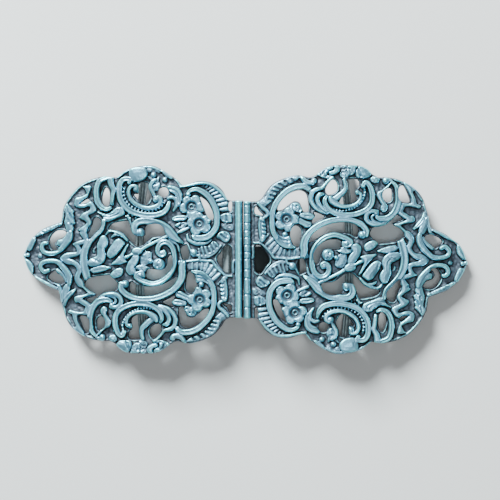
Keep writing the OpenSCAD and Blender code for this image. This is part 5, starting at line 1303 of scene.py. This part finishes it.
class BUCKLE_OT_fittings(Operator):
    """Finish the belt bars, the hook plate and the catch bar"""
    bl_idname = "buckle.fittings"
    bl_label = "Fittings"

    def execute(self, context):
        colours = context.scene.buckle_finish
        f = Millimetres(context.scene.buckle_fittings)
        casting = Millimetres(context.scene.buckle_casting)
        under = arch(cad_high.x / MM, casting.crown, casting.tip)
        # Shares of the wire colour per part; the hook at 1.3 and the catch bar at 1.2 are lighter copies,
        # painted light in the shaded gap beside the rail
        bars = dull_metal(colours, "bar_metal", 1.0)
        hook = dull_metal(colours, "hook_metal", 1.3, (f.catch_r - f.catch_x) * MM)
        rod = dull_metal(colours, "catch_metal", 1.2)
        cast = dull_metal(colours, "lug_silver", 0.8)
        rows = [("hook_plate", *hook_mesh(f, under), hook, "hook_plate", "hook_metal"),
                ("catch_bar", *rod_mesh(f), rod, "catch_bar", "hook_metal")]
        for side in ("left", "right"):
            bar, half = side + "_belt_bar", side + "_casting"
            rows.append((bar, *bar_mesh(f, side), bars, bar, "bar_metal"))
            rows.append((half + "_lugs", *lug_meshes(f, side, under), cast, half, "cast_silver"))
        for name, points, *rest in rows:
            add_piece(context, name + "_shape", points * MM, *rest)
        return {"FINISHED"}


class BUCKLE_OT_stage(Operator):
    """Make the floor, the light and the camera"""
    bl_idname = "buckle.stage"
    bl_label = "Stage"

    def execute(self, context):
        scene, settings = context.scene, context.scene.buckle_stage
        size = 2.0
        corners = [(-size, -size, 0), (size, -size, 0), (size, size, 0), (-size, size, 0)]
        finish = floor_finish(scene.buckle_finish)
        floor = new_mesh("floor", corners, [(0, 1, 2, 3)], finish, scene.collection)
        for name, place, watts in (("key", (-0.3, 0.6, 0.38), settings.key),
                                   ("fill", (0.08, -0.1, 0.8), settings.fill)):
            light = bpy.data.lights.new(name, "AREA")
            light.shape = "SQUARE"
            light.size = 0.3
            light.energy = watts
            light.color = settings.light
            lamp = bpy.data.objects.new(name, light)
            lamp.location = place
            lamp.rotation_mode = "QUATERNION"
            lamp.rotation_quaternion = (-Vector(place)).to_track_quat("-Z", "Y")
            scene.collection.objects.link(lamp)
        world = bpy.data.worlds.new("surroundings")
        world.use_nodes = True
        background = world.node_tree.nodes["Background"]
        background.inputs["Color"].default_value = shaded(settings.air)
        background.inputs["Strength"].default_value = settings.sky
        scene.world = world
        self.camera(scene, settings)
        return {"FINISHED"}

    def camera(self, scene, settings):
        """Camera over the buckle, a little towards its right end, with the long side level."""
        back = Vector((np.sin(settings.lean), 0, np.cos(settings.lean)))
        right = (Vector((1, 0, 0)) - back * back.x).normalized()
        turn = Matrix((right, back.cross(right), back)).transposed()
        data = bpy.data.cameras.new("camera")
        data.sensor_width = 36
        data.lens = settings.zoom * settings.distance
        camera = bpy.data.objects.new("camera", data)
        spot = Vector(settings.target) + back * settings.distance
        camera.matrix_world = Matrix.Translation(spot) @ turn.to_4x4()
        scene.collection.objects.link(camera)
        scene.camera = camera


class BUCKLE_PT_panel(Panel):
    """Buckle panel"""
    bl_idname = "BUCKLE_PT_panel"
    bl_label = "Buckle"
    bl_space_type = "VIEW_3D"
    bl_region_type = "UI"
    bl_category = "Buckle"

    def draw(self, context):
        layout = self.layout
        for name in GROUPS:
            group = getattr(context.scene, name)
            box = layout.box()
            for key in group.__annotations__:
                box.prop(group, key)
        for operator in STEPS:
            layout.operator(operator.bl_idname)


STEPS = (BUCKLE_OT_castings, BUCKLE_OT_fittings, BUCKLE_OT_stage)
GROUPS = {"buckle_casting": BUCKLE_PG_casting, "buckle_fittings": BUCKLE_PG_fittings,
          "buckle_finish": BUCKLE_PG_finish, "buckle_stage": BUCKLE_PG_stage}
CLASSES = (*GROUPS.values(), *STEPS, BUCKLE_PT_panel)


def register():
    for cls in CLASSES:
        bpy.utils.register_class(cls)
    for name, group in GROUPS.items():
        setattr(bpy.types.Scene, name, PointerProperty(type=group))


def unregister():
    for name in GROUPS:
        delattr(bpy.types.Scene, name)
    for cls in reversed(CLASSES):
        bpy.utils.unregister_class(cls)


def main():
    register()
    bpy.ops.buckle.castings()
    bpy.ops.buckle.fittings()
    bpy.ops.buckle.stage()


if __name__ == "__main__":
    main()
